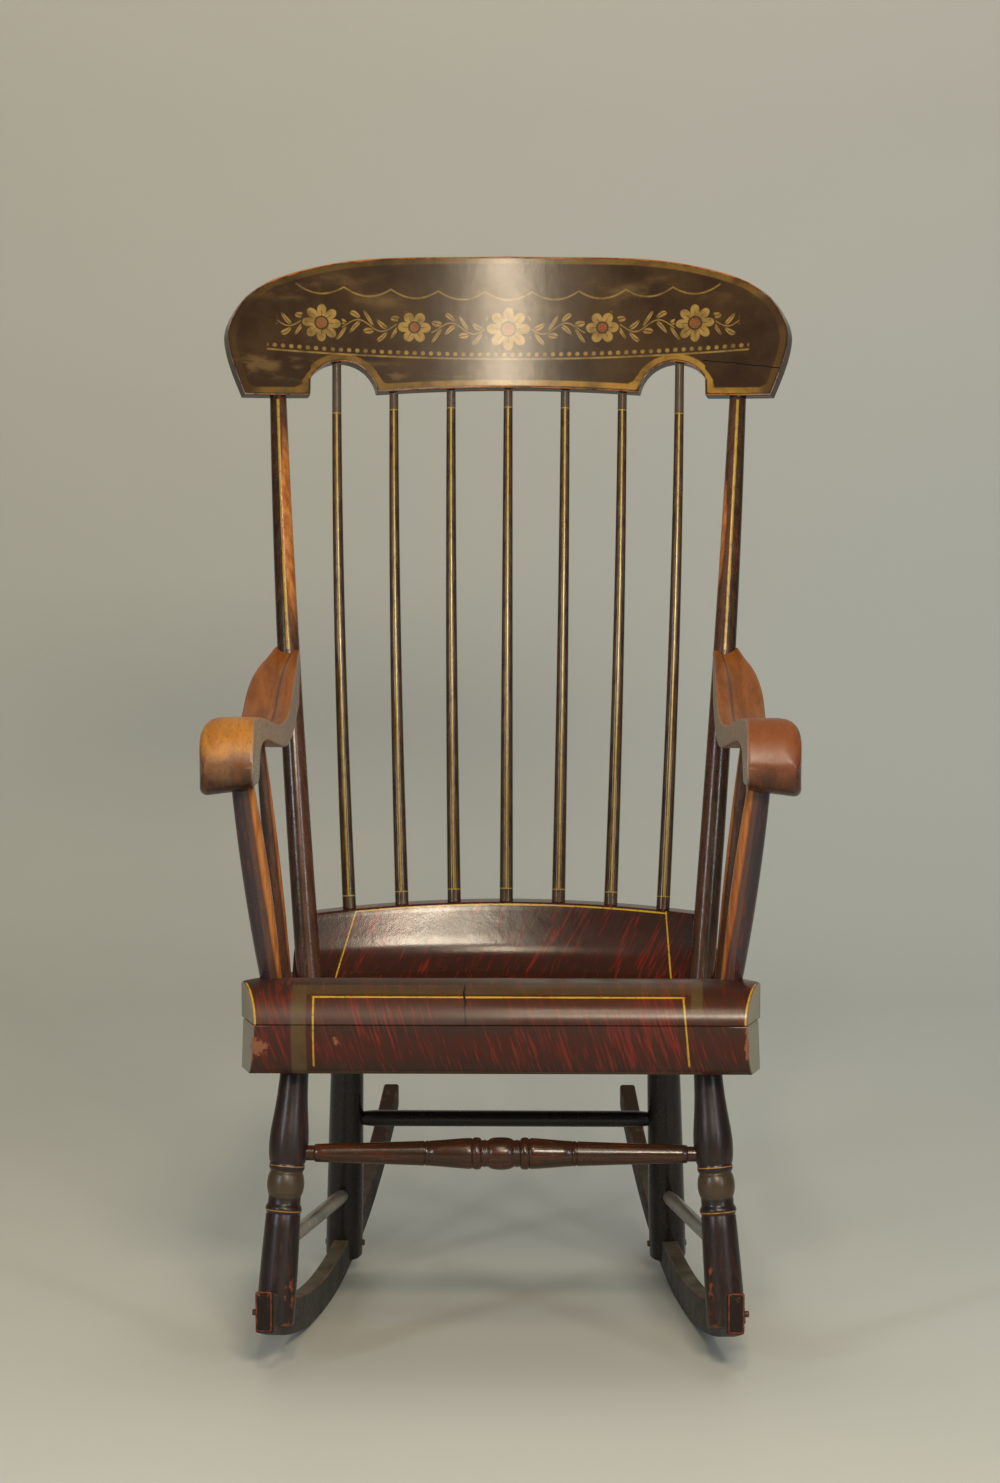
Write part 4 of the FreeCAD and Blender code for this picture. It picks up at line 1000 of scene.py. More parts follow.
CREST_LEAN = math.radians(20.0)
CREST_BOW = 925.0
CREST_DEPTH = 601.0
CREST_UNDER = 942.5
CREST_HALF = 8.0
CREST_MIDDLE_HALF = 144.0
CREST_SAG = -8.4
ARCH_TOP = (186.0, 24.0)
ARCH_OUT = (217.0, 2.4)
CHEEK_OUT = (287.5, -21.0)


def crest_bow(x):
    return CREST_BOW - math.sqrt(CREST_BOW ** 2 - x * x)


def on_crest(x, height, forward=0.0):
    """A point on the crest's board: the bow moves it forward towards the ends, and its cut edges
    stand square to the bent board."""
    back = math.cos(CREST_LEAN)
    rise = math.sin(CREST_LEAN)
    ahead = forward + crest_bow(x)
    across = x - (forward + CREST_HALF) * x / CREST_BOW
    return place(across, CREST_DEPTH + rise * height - back * ahead,
                 CREST_UNDER + back * height + rise * ahead)


stile_stripe = (0.355, 0.635, 0.0015)
stile_finish = {
    -1: rod_material("left stile paint", amount=0.6, stripe=stile_stripe, flush=(0.0, 0.9), olive_front_sheen=0.25,
                     strip=(-0.05, 0.395, 0.590, 0.030, 0.35)),
    1: rod_material("right stile paint", amount=0.6, stripe=stile_stripe, flush=(0.15, 0.8), olive_front_sheen=0.35,
                    strip=(0.55, 0.42, 0.56, 0.030, 0.35)),
}
for side, name in ((-1, "left"), (1, "right")):
    foot = place(side * 208.0, 387.0, 327.0)
    elbow = place(side * 232.5, 461.0, 670.0)
    top = on_crest(side * 248.5, -18.0, -CREST_HALF)
    stations = bent_stations(foot, elbow, top, (13.2, 12.2, 9.0), 28)
    rod(name + "_back_post", stations, 28, -side, stile_finish[side], [name + "_stile"])


# Spindles: seven slim rods, shaved thinner to the top and bent a little forward in the middle.
# Each has a yellow line down its front between two yellow rings.
spindle_paint = rod_material("spindle paint", amount=0.5, red=(0.075, 0.022, 0.014, 1), olive_front_sheen=0.8,
                             stripe=(0.0135, 0.5375, 0.0010), rings=((0.0135, 0.0006), (0.5375, 0.0006)),
                             bare_top=0.538, gloss=0.18)


def crest_sag(x):
    """Height of the middle of the crest's lower edge, which sags a little to the arches."""
    return CREST_SAG * (x / CREST_MIDDLE_HALF) ** 2


for number in range(7):
    from_middle = number - 3
    foot_x = from_middle * 56.0
    top_x = from_middle * 62.0
    foot_radius = RISER_BOW + 11.5 / math.cos(RISER_ANGLE)
    foot = place(foot_x, RISER_AXIS + math.sqrt(foot_radius ** 2 - foot_x ** 2), riser_top(foot_x) - 1.0)
    height = ARCH_TOP[1] if abs(top_x) > CREST_MIDDLE_HALF else crest_sag(top_x)
    top = on_crest(top_x, height + 1.0, -CREST_HALF)
    top += Vector((0, -CREST_HALF * MM * math.cos(CREST_LEAN), 0))
    middle = (foot + top) / 2 + Vector((from_middle, 0, 0)) * MM - Vector((0, 9.0, 0)) * MM
    rod("spindle_%d" % (number + 1), bent_stations(foot, middle, top, (7.2, 6.05, 4.9), 22), 20, -1,
        spindle_paint, ["back_spindle_%d" % (number + 1)])


# Crest rail: one wide board, steamed to a bow and leaning back, cut away in two arches over the
# outer spindles. The dark face has a gold band along its edges and generic gold stencilling.
CREST_SIDE = [CHEEK_OUT, (302.0, 16.0), (307.0, 46.0), (300.0, 70.0), (283.0, 94.0), (249.0, 116.0),
              (186.75, 136.0), (114.5, 145.6), (0.0, 149.0)]


def curve_number(before, start, end, after, share):
    """One coordinate of a smooth curve, at a share of the way from the second point to the third."""
    square = 2 * before - 5 * start + 4 * end - after
    cube = 3 * start - before - 3 * end + after
    return 0.5 * (2 * start + (end - before) * share + square * share ** 2 + cube * share ** 3)


def smooth_path(points, steps):
    """A smooth curve through the points, in small steps."""
    path = []
    count = len(points)
    for i in range(count - 1):
        before = points[max(i - 1, 0)]
        start, end = points[i], points[i + 1]
        after = points[min(i + 2, count - 1)]
        for step in range(steps):
            path.append(tuple(curve_number(*numbers, step / steps)
                              for numbers in zip(before, start, end, after)))
    path.append(points[-1])
    return path


crest_edge = smooth_path(CREST_SIDE, 12)
crest_edge = crest_edge + [(-x, height) for x, height in reversed(crest_edge[:-1])]
widest = max(crest_edge)


def crest_top(x):
    half = [spot for spot in crest_edge[:len(crest_edge) // 2 + 1] if spot[1] >= widest[1]]
    away = abs(x)
    for (x1, h1), (x2, h2) in zip(half, half[1:]):
        if x2 <= away <= x1:
            return h1 + (h2 - h1) * (x1 - away) / max(x1 - x2, 1e-6)
    return widest[1]


def crest_low(x):
    away = abs(x)
    if away >= CHEEK_OUT[0]:
        half = [spot for spot in crest_edge[:len(crest_edge) // 2 + 1] if spot[1] <= widest[1]]
        for (x1, h1), (x2, h2) in zip(half, half[1:]):
            if x1 <= away <= x2:
                return h1 + (h2 - h1) * (away - x1) / max(x2 - x1, 1e-6)
        return widest[1]
    if away > ARCH_OUT[0]:
        return CHEEK_OUT[1] + (away - CHEEK_OUT[0]) / (ARCH_OUT[0] - CHEEK_OUT[0]) * 5.2
    if away > CREST_MIDDLE_HALF:
        return arc_height(away, (ARCH_OUT, ARCH_TOP, (CREST_MIDDLE_HALF, CREST_SAG)), 1)
    return crest_sag(away)


def crest_stations():
    out = [widest[0] * math.sin(math.radians(turn)) for turn in (89.0, 86.5, 83.5, 80.0, 76.0, 72.5)]
    out = [widest[0] - 0.02] + out + [287.6, 287.4]
    out += [284.0, 276.0, 266.0, 255.0, 244.0, 234.0, 225.0, 219.5, 217.05, 216.95, 216.0, 213.5, 210.0,
            205.0, 199.0, 192.5, 186.0, 179.5, 173.0, 167.0, 161.5, 156.5, 152.0, 148.0, 145.5, 144.05,
            143.95, 140.0, 132.0, 122.0, 110.0, 98.0, 86.0, 74.0, 62.0, 50.0, 38.0, 26.0, 13.0]
    out = sorted(out, reverse=True)
    return [-x for x in out] + [0.0] + out[::-1]


def crest_points(x):
    """The board's section at x: points of a height and a distance forward, with their arris marks."""
    high, low = crest_top(x), crest_low(x)
    tall = high - low
    half = CREST_HALF
    round_edge = min(1.5, tall * 0.24)
    rows_up = [min(reach, tall * share)
               for reach, share in ((4.0, 0.30), (8.0, 0.34), (12.0, 0.38), (17.0, 0.42))]
    heights = [low + reach for reach in rows_up] + [low + tall * 0.46, (low + high) / 2, low + tall * 0.54]
    heights += [high - reach for reach in reversed(rows_up)]
    turns = [math.radians(turn) for turn in (90.0, 60.0, 30.0, 0.0)]
    arc_in = [(round_edge * (1 - math.sin(turn)), round_edge * (1 - math.cos(turn))) for turn in turns]
    points = [(low + draw, half - up) for up, draw in arc_in[::-1]]
    points += [(height, half) for height in heights]
    points += [(high - draw, half - up) for up, draw in arc_in]
    points += [(high - draw, up - half) for up, draw in arc_in[::-1]]
    points += [(height, -half) for height in reversed(heights)]
    points += [(low + draw, up - half) for up, draw in arc_in]
    end = max(0.0, min(1.0, (abs(x) - 262.0) / 26.0))
    over = 1.0 - end
    flat = [0.0] * len(heights)
    marks = [0.35 * over, 0.75, 0.75, 0.35] + flat + [0.6, 1.0, 0.9 * over + 0.3, 0.9 * over]
    marks += [0.7 * over, 0.6 * over, 0.45, 0.3] + flat + [0.3, 0.45, 0.4 * over, 0.3 * over]
    return points, marks


def outline_distance(x, height, outline):
    best = 1e9
    for (x1, h1), (x2, h2) in zip(outline, outline[1:] + outline[:1]):
        run, rise = x2 - x1, h2 - h1
        long = run * run + rise * rise
        share = 0.0 if long == 0 else max(0.0, min(1.0, ((x - x1) * run + (height - h1) * rise) / long))
        best = min(best, math.hypot(x - x1 - run * share, height - h1 - rise * share))
    return best


stations = crest_stations()
whole_outline = [(x, crest_top(x)) for x in stations] + [(x, crest_low(x)) for x in reversed(stations)]
rings = []
crest_marks = {"inside": [], "arris": [], "face": [], "board_x": [], "board_up": []}
for x in stations:
    section, arris = crest_points(x)
    rings.append([on_crest(x, height, forward) for height, forward in section])
    crest_marks["inside"].append([outline_distance(x, height, whole_outline) * MM
                                  for height, forward in section])
    crest_marks["arris"].append(arris)
    crest_marks["face"].append([(forward + CREST_HALF) / (2 * CREST_HALF) for height, forward in section])
    crest_marks["board_x"].append([x * MM] * len(section))
    crest_marks["board_up"].append([height * MM for height, forward in section])
crest, rows = loft(rings, **crest_marks)
close_pairs(crest, rows[0][8:] + rows[0][:8])
close_pairs(crest, rows[-1][8:] + rows[-1][:8])


def stencil_group():
    """Gold bronze powder rubbed through cut stencils: flowers, a leafy vine, swags and a dotted border."""
    tree, into, out = new_group("gold stencilling", [("Across", "Float", 0.0), ("Up", "Float", 0.0)],
                                [("Gold", "Float"), ("Copper", "Float")])
    across = times(without_sign(into["Across"]), 1000.0)
    up = times(into["Up"], 1000.0)

    def soft(inside):
        return scaled(inside, 0.8, 0.5, clamp=True)

    def distance(x, y):
        return calc("SQRT", plus(times(x, x), times(y, y)))

    gold, copper, clear = 0.0, 0.0, 1.0
    for centre, radius, petals in ((0.0, 24.0, 8), (104.0, 18.0, 6), (206.0, 21.0, 8)):
        x = minus(across, centre)
        y = minus(up, 66.0)
        out_to = distance(x, y)
        turn = times(calc("ARCTAN2", y, x), petals / 2)
        lobe = calc("POWER", without_sign(calc("COSINE", turn)), 0.55)
        petal = soft(minus(scaled(lobe, radius * 0.5, radius * 0.5), out_to))
        vein = ramp(without_sign(calc("COSINE", turn)), 0.985, 0.997)
        vein = times(vein, ramp(out_to, radius * 0.85, radius * 0.45))
        away = without_sign(minus(out_to, radius * 0.33))
        petal = times(petal, minus(1.0, soft(minus(1.1, away))), minus(1.0, vein))
        heart = soft(minus(radius * 0.27, out_to))
        gold = larger(gold, petal)
        copper = larger(copper, heart)
        clear = times(clear, ramp(out_to, radius + 1.0, radius + 2.5))
    wave = calc("SINE", times(across, 2 * math.pi / 51.0))
    lift = minus(up, scaled(wave, 6.0, 66.0))
    lift = without_sign(lift)
    stem = soft(minus(0.6, lift))
    cell = minus(calc("MODULO", plus(across, 3.0), 15.0), 7.5)
    rise = minus(lift, 7.0)
    long_way = scaled(cell, 0.74, times(rise, 0.67))
    cross = scaled(cell, -0.67, times(rise, 0.74))
    leaf = distance(calc("DIVIDE", long_way, 8.0), calc("DIVIDE", cross, 2.9))
    leaf = times(minus(1.0, leaf), 4.0, clamp=True)
    leaf = times(leaf, ramp(without_sign(cross), 0.15, 0.6))
    vine = times(larger(stem, leaf), clear, ramp(across, 256.0, 252.0))
    gold = larger(gold, vine)
    swag = minus(calc("MODULO", plus(across, 26.0), 52.0), 26.0)
    hang = scaled(times(swag, swag), 0.0135, 99.0)
    line = soft(minus(1.0, without_sign(minus(up, hang))))
    line = times(line, ramp(across, 236.0, 232.0))
    gold = larger(gold, times(line, 0.7))
    dot = minus(calc("MODULO", across, 9.0), 4.5)
    dot = soft(minus(2.3, distance(dot, minus(up, 37.0))))
    rule = soft(minus(0.9, without_sign(minus(up, 32.0))))
    border = times(larger(dot, rule), ramp(across, 266.0, 263.0))
    gold = larger(gold, times(border, 0.85))
    tree.links.new(gold, out["Gold"])
    tree.links.new(copper, out["Copper"])
    return tree


crest_material, tree, shader, point = new_material("crest paint")
board_x = attribute(tree, "board_x")
board_up = attribute(tree, "board_up")
face = ramp(attribute(tree, "face"), 0.93, 0.99)
strokes = noise(stretched(point, (1.0, 0.15, 0.15)), 90.0, 4.0, 0.6)
cloud = noise(point, 18.0, 5.0, 0.65)
ground = mix(ramp(cloud, 0.3, 0.7), (0.024, 0.0125, 0.0055, 1), (0.050, 0.0275, 0.0105, 1))
ground = mix(times(strokes, 0.3), ground, (0.052, 0.026, 0.015, 1))
stencil = add(tree, "Group", {"Across": board_x, "Up": board_up}, node_tree=stencil_group())
worn_gold = scaled(ramp(noise(point, 75.0, 4.0, 0.65), 0.30, 0.62), 0.55, 0.35)
gold = times(stencil.outputs["Gold"], worn_gold, face)
copper = times(stencil.outputs["Copper"], 0.7, face)
drift = noise(stretched(point, (0.45, 1.0, 1.0)), 34.0, 4.0, 0.55)
haze = times(ramp(drift, 0.47, 0.72), between(board_up, 0.088, 0.122, 0.008))
low_haze = noise(stretched(point, (0.25, 1.0, 1.0)), 90.0, 3.0, 0.5)
low_haze = times(ramp(low_haze, 0.45, 0.65), between(board_up, 0.000, 0.024, 0.004))
haze = larger(haze, times(low_haze, ramp(board_x, 0.06, -0.12)))
haze = times(haze, times(face, 0.42))
inside_edge = attribute(tree, "inside")
band_noise = ramp(noise(point, 38.0, 4.0, 0.6), 0.28, 0.62)
strength = scaled(ramp(board_x, -0.20, 0.14), 0.45, 0.35)
strength = times(strength, scaled(band_noise, 0.75, 0.25))
lower = scaled(ramp(board_up, 0.075, 0.045), 0.6, 0.4)
at_end = ramp(without_sign(board_x), 0.262, 0.284)
lower = times(lower, scaled(at_end, -0.85, 1.0))
band = times(between(inside_edge, 0.0022, 0.0085, 0.0009), times(strength, lower), face)
crack_line = scaled(minus(board_x, 0.214), -0.184, 0.0238)
crack_line = scaled(minus(noise(point, 30.0, 2.0), 0.5), 0.006, crack_line)
crack = ramp(without_sign(minus(board_up, crack_line)), 0.0008, 0.0003)
crack = times(crack, times(face, ramp(board_x, 0.212, 0.216)))
rubbed = rubbed_wood(point, attribute(tree, "arris"), 0.62)
colour = mix(haze, ground, (0.20, 0.125, 0.045, 1))
colour = mix(band, colour, (0.36, 0.20, 0.035, 1))
colour = mix(gold, colour, (0.32, 0.20, 0.052, 1))
colour = mix(copper, colour, (0.16, 0.035, 0.016, 1))
colour = mix(crack, colour, (0.006, 0.004, 0.003, 1))
# Towards the ends the rubbed arrises are pale pinkish grey: wear, with a painted highlight on it.
bare = mix(at_end, (0.34, 0.125, 0.035, 1), (0.26, 0.17, 0.12, 1))
colour = mix(rubbed, colour, bare)
finish_surface(shader, point, colour, gloss=0.18, dust=0.03, bump=0.07)
put_in_scene("crest_board", crest, crest_material, ["crest_rail"])


# Arms: mahogany, sawn to an S from the side and swept out in plan, then scooped on top. The front
# is carved to a rolled hand-hold. Only varnished, so the red-orange wood and its grain show.
ARM_TOP = [(11.0, 612.0), (14.0, 625.0), (20.0, 637.0), (30.0, 647.5), (44.0, 654.0), (58.0, 655.5),
           (90.0, 651.5), (124.0, 643.75), (160.0, 635.0), (190.0, 632.0), (230.0, 633.5),
           (280.0, 640.5), (327.0, 652.5), (380.0, 664.0), (425.0, 671.0), (452.0, 675.0)]
ARM_LOW = [(11.0, 612.0), (13.0, 600.0), (20.0, 590.0), (33.0, 584.0), (55.0, 583.6), (76.0, 584.0),
           (79.0, 588.0), (82.0, 600.0), (85.0, 612.5), (92.0, 621.0), (104.0, 625.0), (120.0, 623.5),
           (150.0, 616.5), (190.0, 607.5), (225.0, 603.0), (255.0, 602.0), (300.0, 602.6),
           (359.5, 607.0), (410.0, 613.5), (452.0, 620.0)]
ARM_INNER = [(11.0, 242.0), (58.0, 242.0), (80.0, 240.0), (100.0, 236.5), (125.0, 232.5), (152.0, 228.0),
             (190.0, 223.0), (231.5, 220.0), (452.0, 220.0)]
ARM_OUTER = [(11.0, 290.0), (20.0, 294.5), (33.0, 296.0), (50.0, 295.0), (66.0, 292.0), (90.0, 284.0),
             (110.0, 277.5), (137.0, 273.0), (180.0, 270.0), (231.5, 268.5), (300.0, 268.4), (350.0, 265.3),
             (394.5, 259.5), (430.0, 252.5), (452.0, 247.5)]
ARM_REAR = 452.0
STILE_AT_ARM = (232.5, 461.0, 12.2)


def read_curve(points, at):
    """The second number of a list of pairs, read smoothly at a value of the first."""
    for i in range(len(points) - 1):
        if at <= points[i + 1][0]:
            before, start = points[max(i - 1, 0)], points[i]
            end, after = points[i + 1], points[min(i + 2, len(points) - 1)]
            first = (end[1] - before[1]) / (end[0] - before[0])
            last = (after[1] - start[1]) / (after[0] - start[0])
            return flowing(start, end, first, last, at)
    return points[-1][1]


def ease(low, high, value):
    share = max(0.0, min(1.0, (value - low) / (high - low)))
    return share * share * (3 - 2 * share)


def arm_ring(depth, side):
    """The arm's section: a narrow raised strip inside, a groove, and a wide scoop sloping outwards."""
    top, low = read_curve(ARM_TOP, depth), read_curve(ARM_LOW, depth)
    inner, outer = read_curve(ARM_INNER, depth), read_curve(ARM_OUTER, depth)
    tall, wide = top - low, outer - inner
    roll = 1.0 - ease(66.0, 104.0, depth)
    flat = 1.0 - roll
    scoop = 2.6 * ease(100.0, 150.0, depth) * (1.0 - 0.3 * ease(380.0, 450.0, depth))
    ridge = 2.4 * ease(100.0, 135.0, depth)
    points = []
    inner_face = []
    groove_mark = []

    def put(x, z, face=0.0, groove=0.0):
        points.append((x, z))
        inner_face.append(face)
        groove_mark.append(groove)

    def corner(x, z, radius, start, sx, sz, faces):
        radius = min(radius, tall * 0.45, wide * 0.45)
        cx, cz = x + sx * radius, z + sz * radius
        for step, face in enumerate(faces):
            angle = math.radians(start + step * 18.0)
            put(cx + radius * math.cos(angle), cz + radius * math.sin(angle), face)

    drop_in, drop_out = 3.0 * roll, -2.5 * roll
    corner(outer, top, 2.6 + 13.4 * roll, 0.0, -1, -1, [0.0] * 6)
    top_right = points[-1][0]
    top_left = inner + 1.8 + 1.8 * roll
    groove = inner + wide * 0.33
    for share in (0.12, 0.28, 0.45, 0.62, 0.78, 0.92):
        dish = scoop * math.sin(math.pi * min(1.0, share * 0.86)) + ridge * share ** 3
        put(top_right + (groove - top_right) * share, top - dish)
    for share, lift in ((0.0, 1.0), (0.25, 0.35), (0.6, 0.0)):
        put(groove + (top_left - groove) * share, top - ridge * lift, groove=flat if share == 0.0 else 0.0)
    corner(inner, top, 1.8 + 1.8 * roll, 90.0, 1, -1, [0.0, 0.0, 0.2, 0.6, 1.0, 1.0])
    for share in (0.33, 0.66):
        put(inner, top + (low + drop_in - top) * share, 1.0)
    corner(inner, low + drop_in, 2.6 + 1.6 * roll, 180.0, 1, 1, [1.0, 1.0, 0.7, 0.3, 0.0, 0.0])
    bottom_left = points[-1][0]
    for share in (0.3, 0.6):
        x = bottom_left + (outer - 3.0 - 4.0 * roll - bottom_left) * share
        put(x, low + drop_in + (drop_out - drop_in) * share)
    corner(outer, low + drop_out, 3.0 + 4.0 * roll, 270.0, -1, 1, [0.0] * 6)
    for share in (0.33, 0.66):
        put(outer, low + drop_out + (top - low - drop_out) * share)
    stile_x, stile_depth, stile_radius = STILE_AT_ARM
    ring = []
    for x, z in points:
        lap = 0.0
        if x > stile_x:
            reach = math.sqrt(max(0.0, stile_radius ** 2 - (x - stile_x) ** 2))
            lap = max(0.0, min(8.0, stile_depth - reach - ARM_REAR)) * ease(425.0, ARM_REAR, depth)
        ring.append(place(side * x, depth + lap, z + 0.3 * lap))
    return ring, inner_face, groove_mark


arm_depths = [11.3, 12.4, 14.2, 16.8, 20.0, 24.0, 29.0, 35.0, 42.0, 49.0, 56.0, 62.0, 67.0, 71.0, 74.0,
              76.0, 77.5, 79.0, 80.5, 82.0, 83.5, 85.0, 87.5, 91.0, 96.0, 102.0, 110.0, 118.0, 127.0,
              137.0, 148.0, 160.0, 173.0, 187.0, 202.0, 218.0, 235.0, 252.0, 270.0, 289.0, 308.0, 327.0,
              346.0, 365.0, 384.0, 402.0, 420.0, 437.0, 447.0, 451.2, 452.0]


def arm_material(name, warm, deep, hand, middle, painted_shade_tone):
    """Varnished mahogany: pale where hands rub the top of the hand-hold, with painted shade low down on it.
    """
    material, tree, shader, point = new_material(name)
    along = stretched(point, (1.0, 0.055, 0.5))
    figure = noise(along, 85.0, 5.0, 0.62, 0.6)
    pores = noise(along, 620.0, 2.0, 0.6)
    cloud = noise(point, 24.0, 4.0, 0.6)
    colour = mix(ramp(figure, 0.35, 0.68), warm, deep)
    x, y, z = axes(point)
    unrest = times(minus(cloud, 0.5), 0.05)
    height = plus(z, unrest)
    grip = ramp(y, -0.262, -0.285)
    held = mix(ramp(height, 0.632, 0.618), hand, middle)
    # Low on the hand-hold the wood turns dark: painted shade.
    held = mix(ramp(height, 0.616, 0.594), held, painted_shade_tone)
    held = mix(times(ramp(figure, 0.42, 0.62), 0.35), held, deep)
    colour = mix(grip, colour, held)
    # Painted reflection: the inner face is pale grey-brown, as the pale room shows in it at a grazing
    # angle.
    inner = times(attribute(tree, "inner_face"), 0.65)
    colour = mix(inner, colour, (0.37, 0.29, 0.205, 1))
    colour = mix(times(ramp(pores, 0.54, 0.70), 0.4), colour, (0.05, 0.014, 0.006, 1))
    # Painted shade: the groove is painted dark.
    groove = times(ramp(attribute(tree, "groove"), 0.15, 0.9), 0.85)
    colour = mix(groove, colour, (0.07, 0.018, 0.005, 1))
    handled = times(grip, ramp(height, 0.630, 0.605))
    rough = scaled(handled, -0.18, 0.40)
    finish_surface(shader, point, colour, gloss=rough, dust=0.06, bump=0.10)
    return material


arm_finish = {
    -1: arm_material("left arm mahogany", warm=(0.25, 0.077, 0.013, 1), deep=(0.15, 0.040, 0.007, 1),
                     hand=(0.38, 0.155, 0.025, 1), middle=(0.17, 0.080, 0.036, 1),
                     painted_shade_tone=(0.024, 0.009, 0.004, 1)),
    1: arm_material("right arm mahogany", warm=(0.24, 0.075, 0.014, 1), deep=(0.15, 0.040, 0.007, 1),
                    hand=(0.20, 0.062, 0.020, 1), middle=(0.17, 0.055, 0.026, 1),
                    painted_shade_tone=(0.045, 0.016, 0.008, 1)),
}
for side, name in ((-1, "left"), (1, "right")):
    sections = [arm_ring(depth, side) for depth in arm_depths]
    arm, rows = loft([section[0] for section in sections], inner_face=[section[1] for section in sections],
                     groove=[section[2] for section in sections])
    close_end(arm, rows[0])
    close_end(arm, rows[-1])
    put_in_scene(name + "_scrolled_arm", arm, arm_finish[side], [name + "_arm"], sharp=60.0)


# Posts and props under the arms: a thick rod under each hand-hold and a thin one behind it, both
# set in the seat. The sides towards the sitter are rubbed to orange wood in a long clean strip.
post_paint = rod_material("post paint", amount=0.45, dark=(0.030, 0.021, 0.024, 1), flush=(0.05, 0.85),
                          strip=(0.42, -0.02, 0.31, 0.004, 0.30), gloss=0.17)
prop_paint = rod_material("prop paint", amount=0.55, flush=(-0.1, 0.9),
                          strip=(0.64, 0.01, 0.30, 0.03, 0.25))
for side, name in ((-1, "left"), (1, "right")):
    foot = place(side * 230.5, 92.0, plank_top(92.0) - 1.0)
    top = place(side * 255.3, 60.0, 585.0)
    rod(name + "_thick_post", bent_stations(foot, (foot + top) / 2, top, (11.0, 13.5, 11.5), 16), 28, -side,
        post_paint, [name + "_front_arm_post"])
    foot = place(side * 223.5, 215.0, plank_top(215.0) - 1.0)
    top = place(side * 245.0, 165.0, 616.0)
    rod(name + "_thin_prop", bent_stations(foot, (foot + top) / 2, top, (7.0, 8.0, 4.6), 16), 20, -side,
        prop_paint, [name + "_rear_arm_prop"])


# Studio: a wide pale sweep of paper, curved up behind the chair, that lets a view from behind pass.
# Warm lamps for the crest and the seat and a cool one at each side show in the gloss, and large
# dim ones in front and overhead only fill the shade. The room round it is dim, pale to the camera.
sweep = bmesh.new()
line_of_floor = [sweep.verts.new((-12.0, -14.0, 0.0))]
for turn in range(0, 91, 10):
    angle = math.radians(turn)
    bent = (-12.0, 1.6 + 1.2 * math.sin(angle), 1.2 - 1.2 * math.cos(angle))
    line_of_floor.append(sweep.verts.new(bent))
line_of_floor.append(sweep.verts.new((-12.0, 2.8, 9.0)))
edges = [sweep.edges.new(pair) for pair in zip(line_of_floor, line_of_floor[1:])]
made = bmesh.ops.extrude_edge_only(sweep, edges=edges)["geom"]
bmesh.ops.translate(sweep, vec=(24.0, 0, 0), verts=[g for g in made if isinstance(g, bmesh.types.BMVert)])
bmesh.ops.recalc_face_normals(sweep, faces=sweep.faces)
bmesh.ops.reverse_faces(sweep, faces=sweep.faces)
mesh = bpy.data.meshes.new("studio_sweep")
sweep.to_mesh(mesh)
sweep.free()
mesh.shade_smooth()
floor = bpy.data.objects.new("studio_sweep", mesh)
bpy.context.collection.objects.link(floor)
floor_material, tree, shader, point = new_material("pale sweep")
mottle = noise(point, 3.0, 4.0, 0.6)
x, y, z = axes(point)
colour = mix(mottle, (0.425, 0.420, 0.362, 1), (0.450, 0.448, 0.392, 1))
# Painted light: the paper is lighter higher up the sweep and towards the front. It is also greener and
# lighter to the right.
colour = mix(ramp(x, -0.7, 0.9), colour, (0.455, 0.480, 0.460, 1))
colour = mix(times(ramp(z, 0.25, 1.7), 0.75), colour, (0.560, 0.535, 0.470, 1))
colour = mix(ramp(y, 0.9, -1.4), colour, (0.50, 0.505, 0.455, 1))
tree.links.new(colour, shader.inputs["Base Color"])
shader.inputs["Roughness"].default_value = 0.55
clear = tree.nodes.new("ShaderNodeBsdfTransparent").outputs[0]
from_behind = tree.nodes.new("ShaderNodeNewGeometry").outputs["Backfacing"]
shown = add(tree, "MixShader", {0: from_behind, 1: shader.outputs[0], 2: clear}).outputs[0]
tree.links.new(shown, tree.nodes["Material Output"].inputs[0])
mesh.materials.append(floor_material)


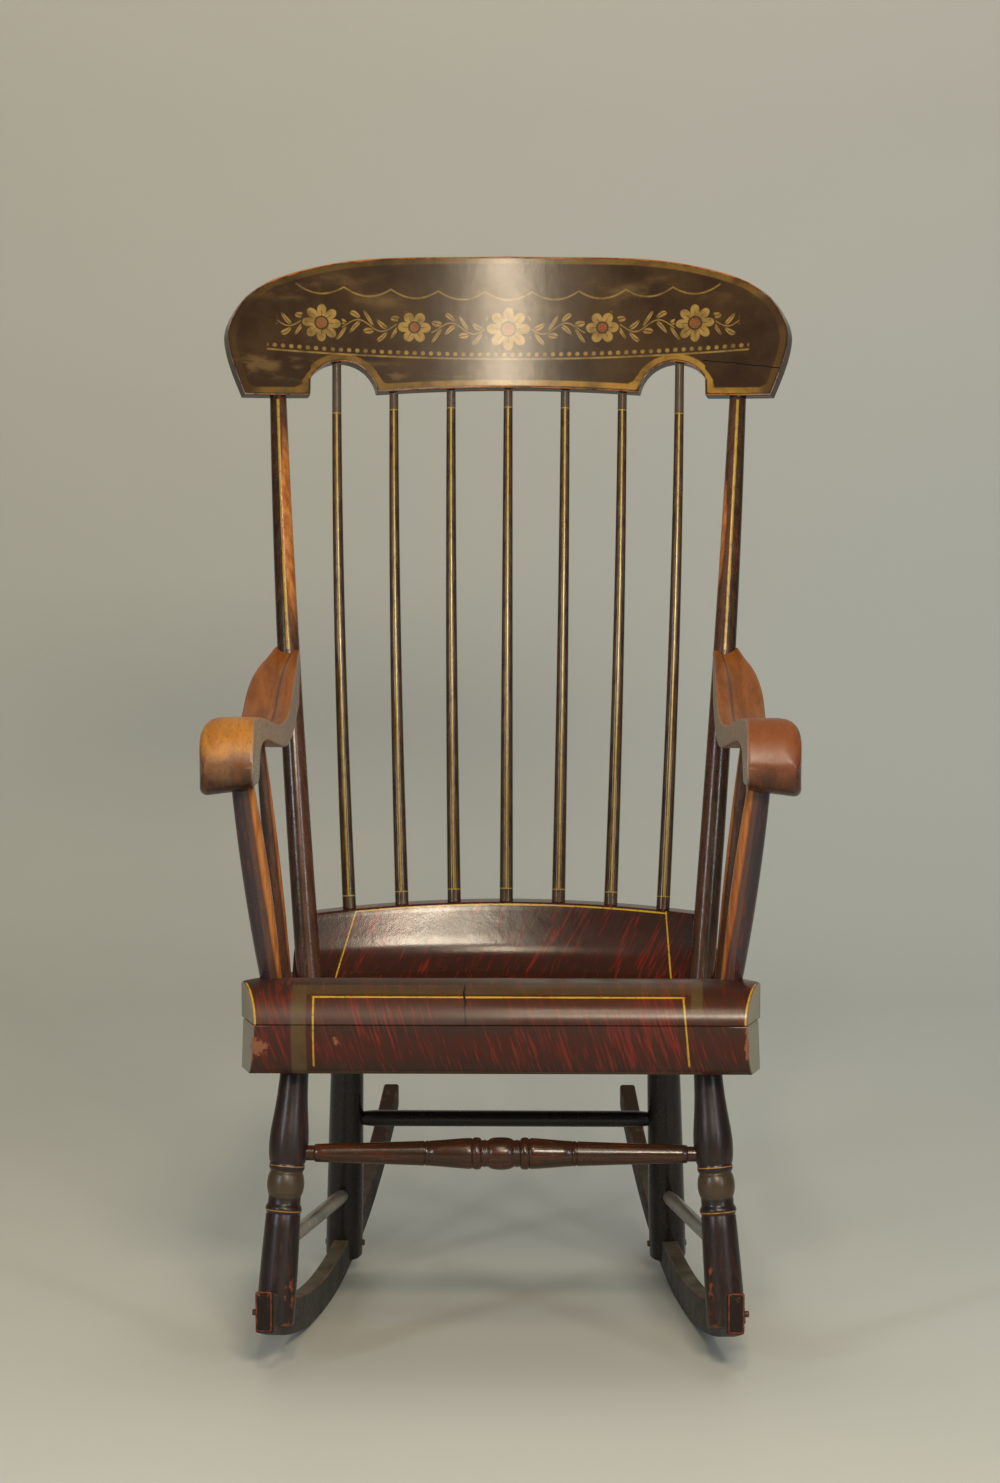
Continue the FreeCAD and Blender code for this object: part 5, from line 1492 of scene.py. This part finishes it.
def soft_light(name, centre, target, wide, tall, power, tint, mirrored=True):
    data = bpy.data.lights.new(name, "AREA")
    data.shape = "RECTANGLE"
    data.size = wide
    data.size_y = tall
    data.energy = power
    data.color = tint
    lamp = bpy.data.objects.new(name, data)
    lamp.location = centre
    lamp.visible_camera = False
    lamp.visible_glossy = mirrored
    lamp.rotation_euler = (Vector(target) - Vector(centre)).to_track_quat("-Z", "Y").to_euler()
    bpy.context.collection.objects.link(lamp)


soft_light("crest light", (-0.03, -3.1, 3.55), (0.0, 0.25, 1.0), 0.26, 0.9, 36.0, (1.0, 0.83, 0.60))
soft_light("seat light", (0.56, -3.5, 2.30), (0.0, 0.0, 0.45), 0.80, 0.5, 78.0, (1.0, 0.86, 0.66))
soft_light("left light", (-2.7, -3.1, 1.7), (0.0, 0.0, 0.6), 0.40, 1.5, 42.0, (0.86, 0.93, 1.0))
soft_light("right light", (2.5, -3.5, 1.7), (0.0, 0.0, 0.6), 0.40, 1.5, 34.0, (0.88, 0.94, 1.0))
soft_light("front light", (0.0, -4.6, 2.4), (0.0, 0.0, 0.5), 3.2, 2.0, 20.0, (1.0, 0.97, 0.92),
           mirrored=False)
soft_light("top light", (0.2, 0.6, 4.2), (0.0, 0.2, 0.0), 3.4, 2.8, 68.0, (1.0, 0.98, 0.94), mirrored=False)
world = bpy.data.worlds.new("studio")
world.use_nodes = True
tree = world.node_tree
seen = tree.nodes.new("ShaderNodeLightPath").outputs["Is Camera Ray"]
tree.links.new(mix(seen, (0.085, 0.085, 0.080, 1), (0.355, 0.345, 0.285, 1)),
               tree.nodes["Background"].inputs[0])
tree.nodes["Background"].inputs[1].default_value = 1.0
bpy.context.scene.world = world

FOCAL_PIXELS = 4966.0
PHOTO_HEIGHT = 1483.0
CAMERA_DISTANCE = 4.8
camera_data = bpy.data.cameras.new("camera")
camera_data.sensor_width = 36.0
camera_data.lens = FOCAL_PIXELS * camera_data.sensor_width / PHOTO_HEIGHT
camera = bpy.data.objects.new("camera", camera_data)
camera.location = (0.073, -CAMERA_DISTANCE - FRONT_TO_MIDDLE * MM, 1.315)
camera.rotation_euler = (math.radians(82.0), 0.0, math.radians(0.869))
bpy.context.collection.objects.link(camera)
bpy.context.scene.camera = camera
bpy.context.scene.view_settings.view_transform = "Standard"
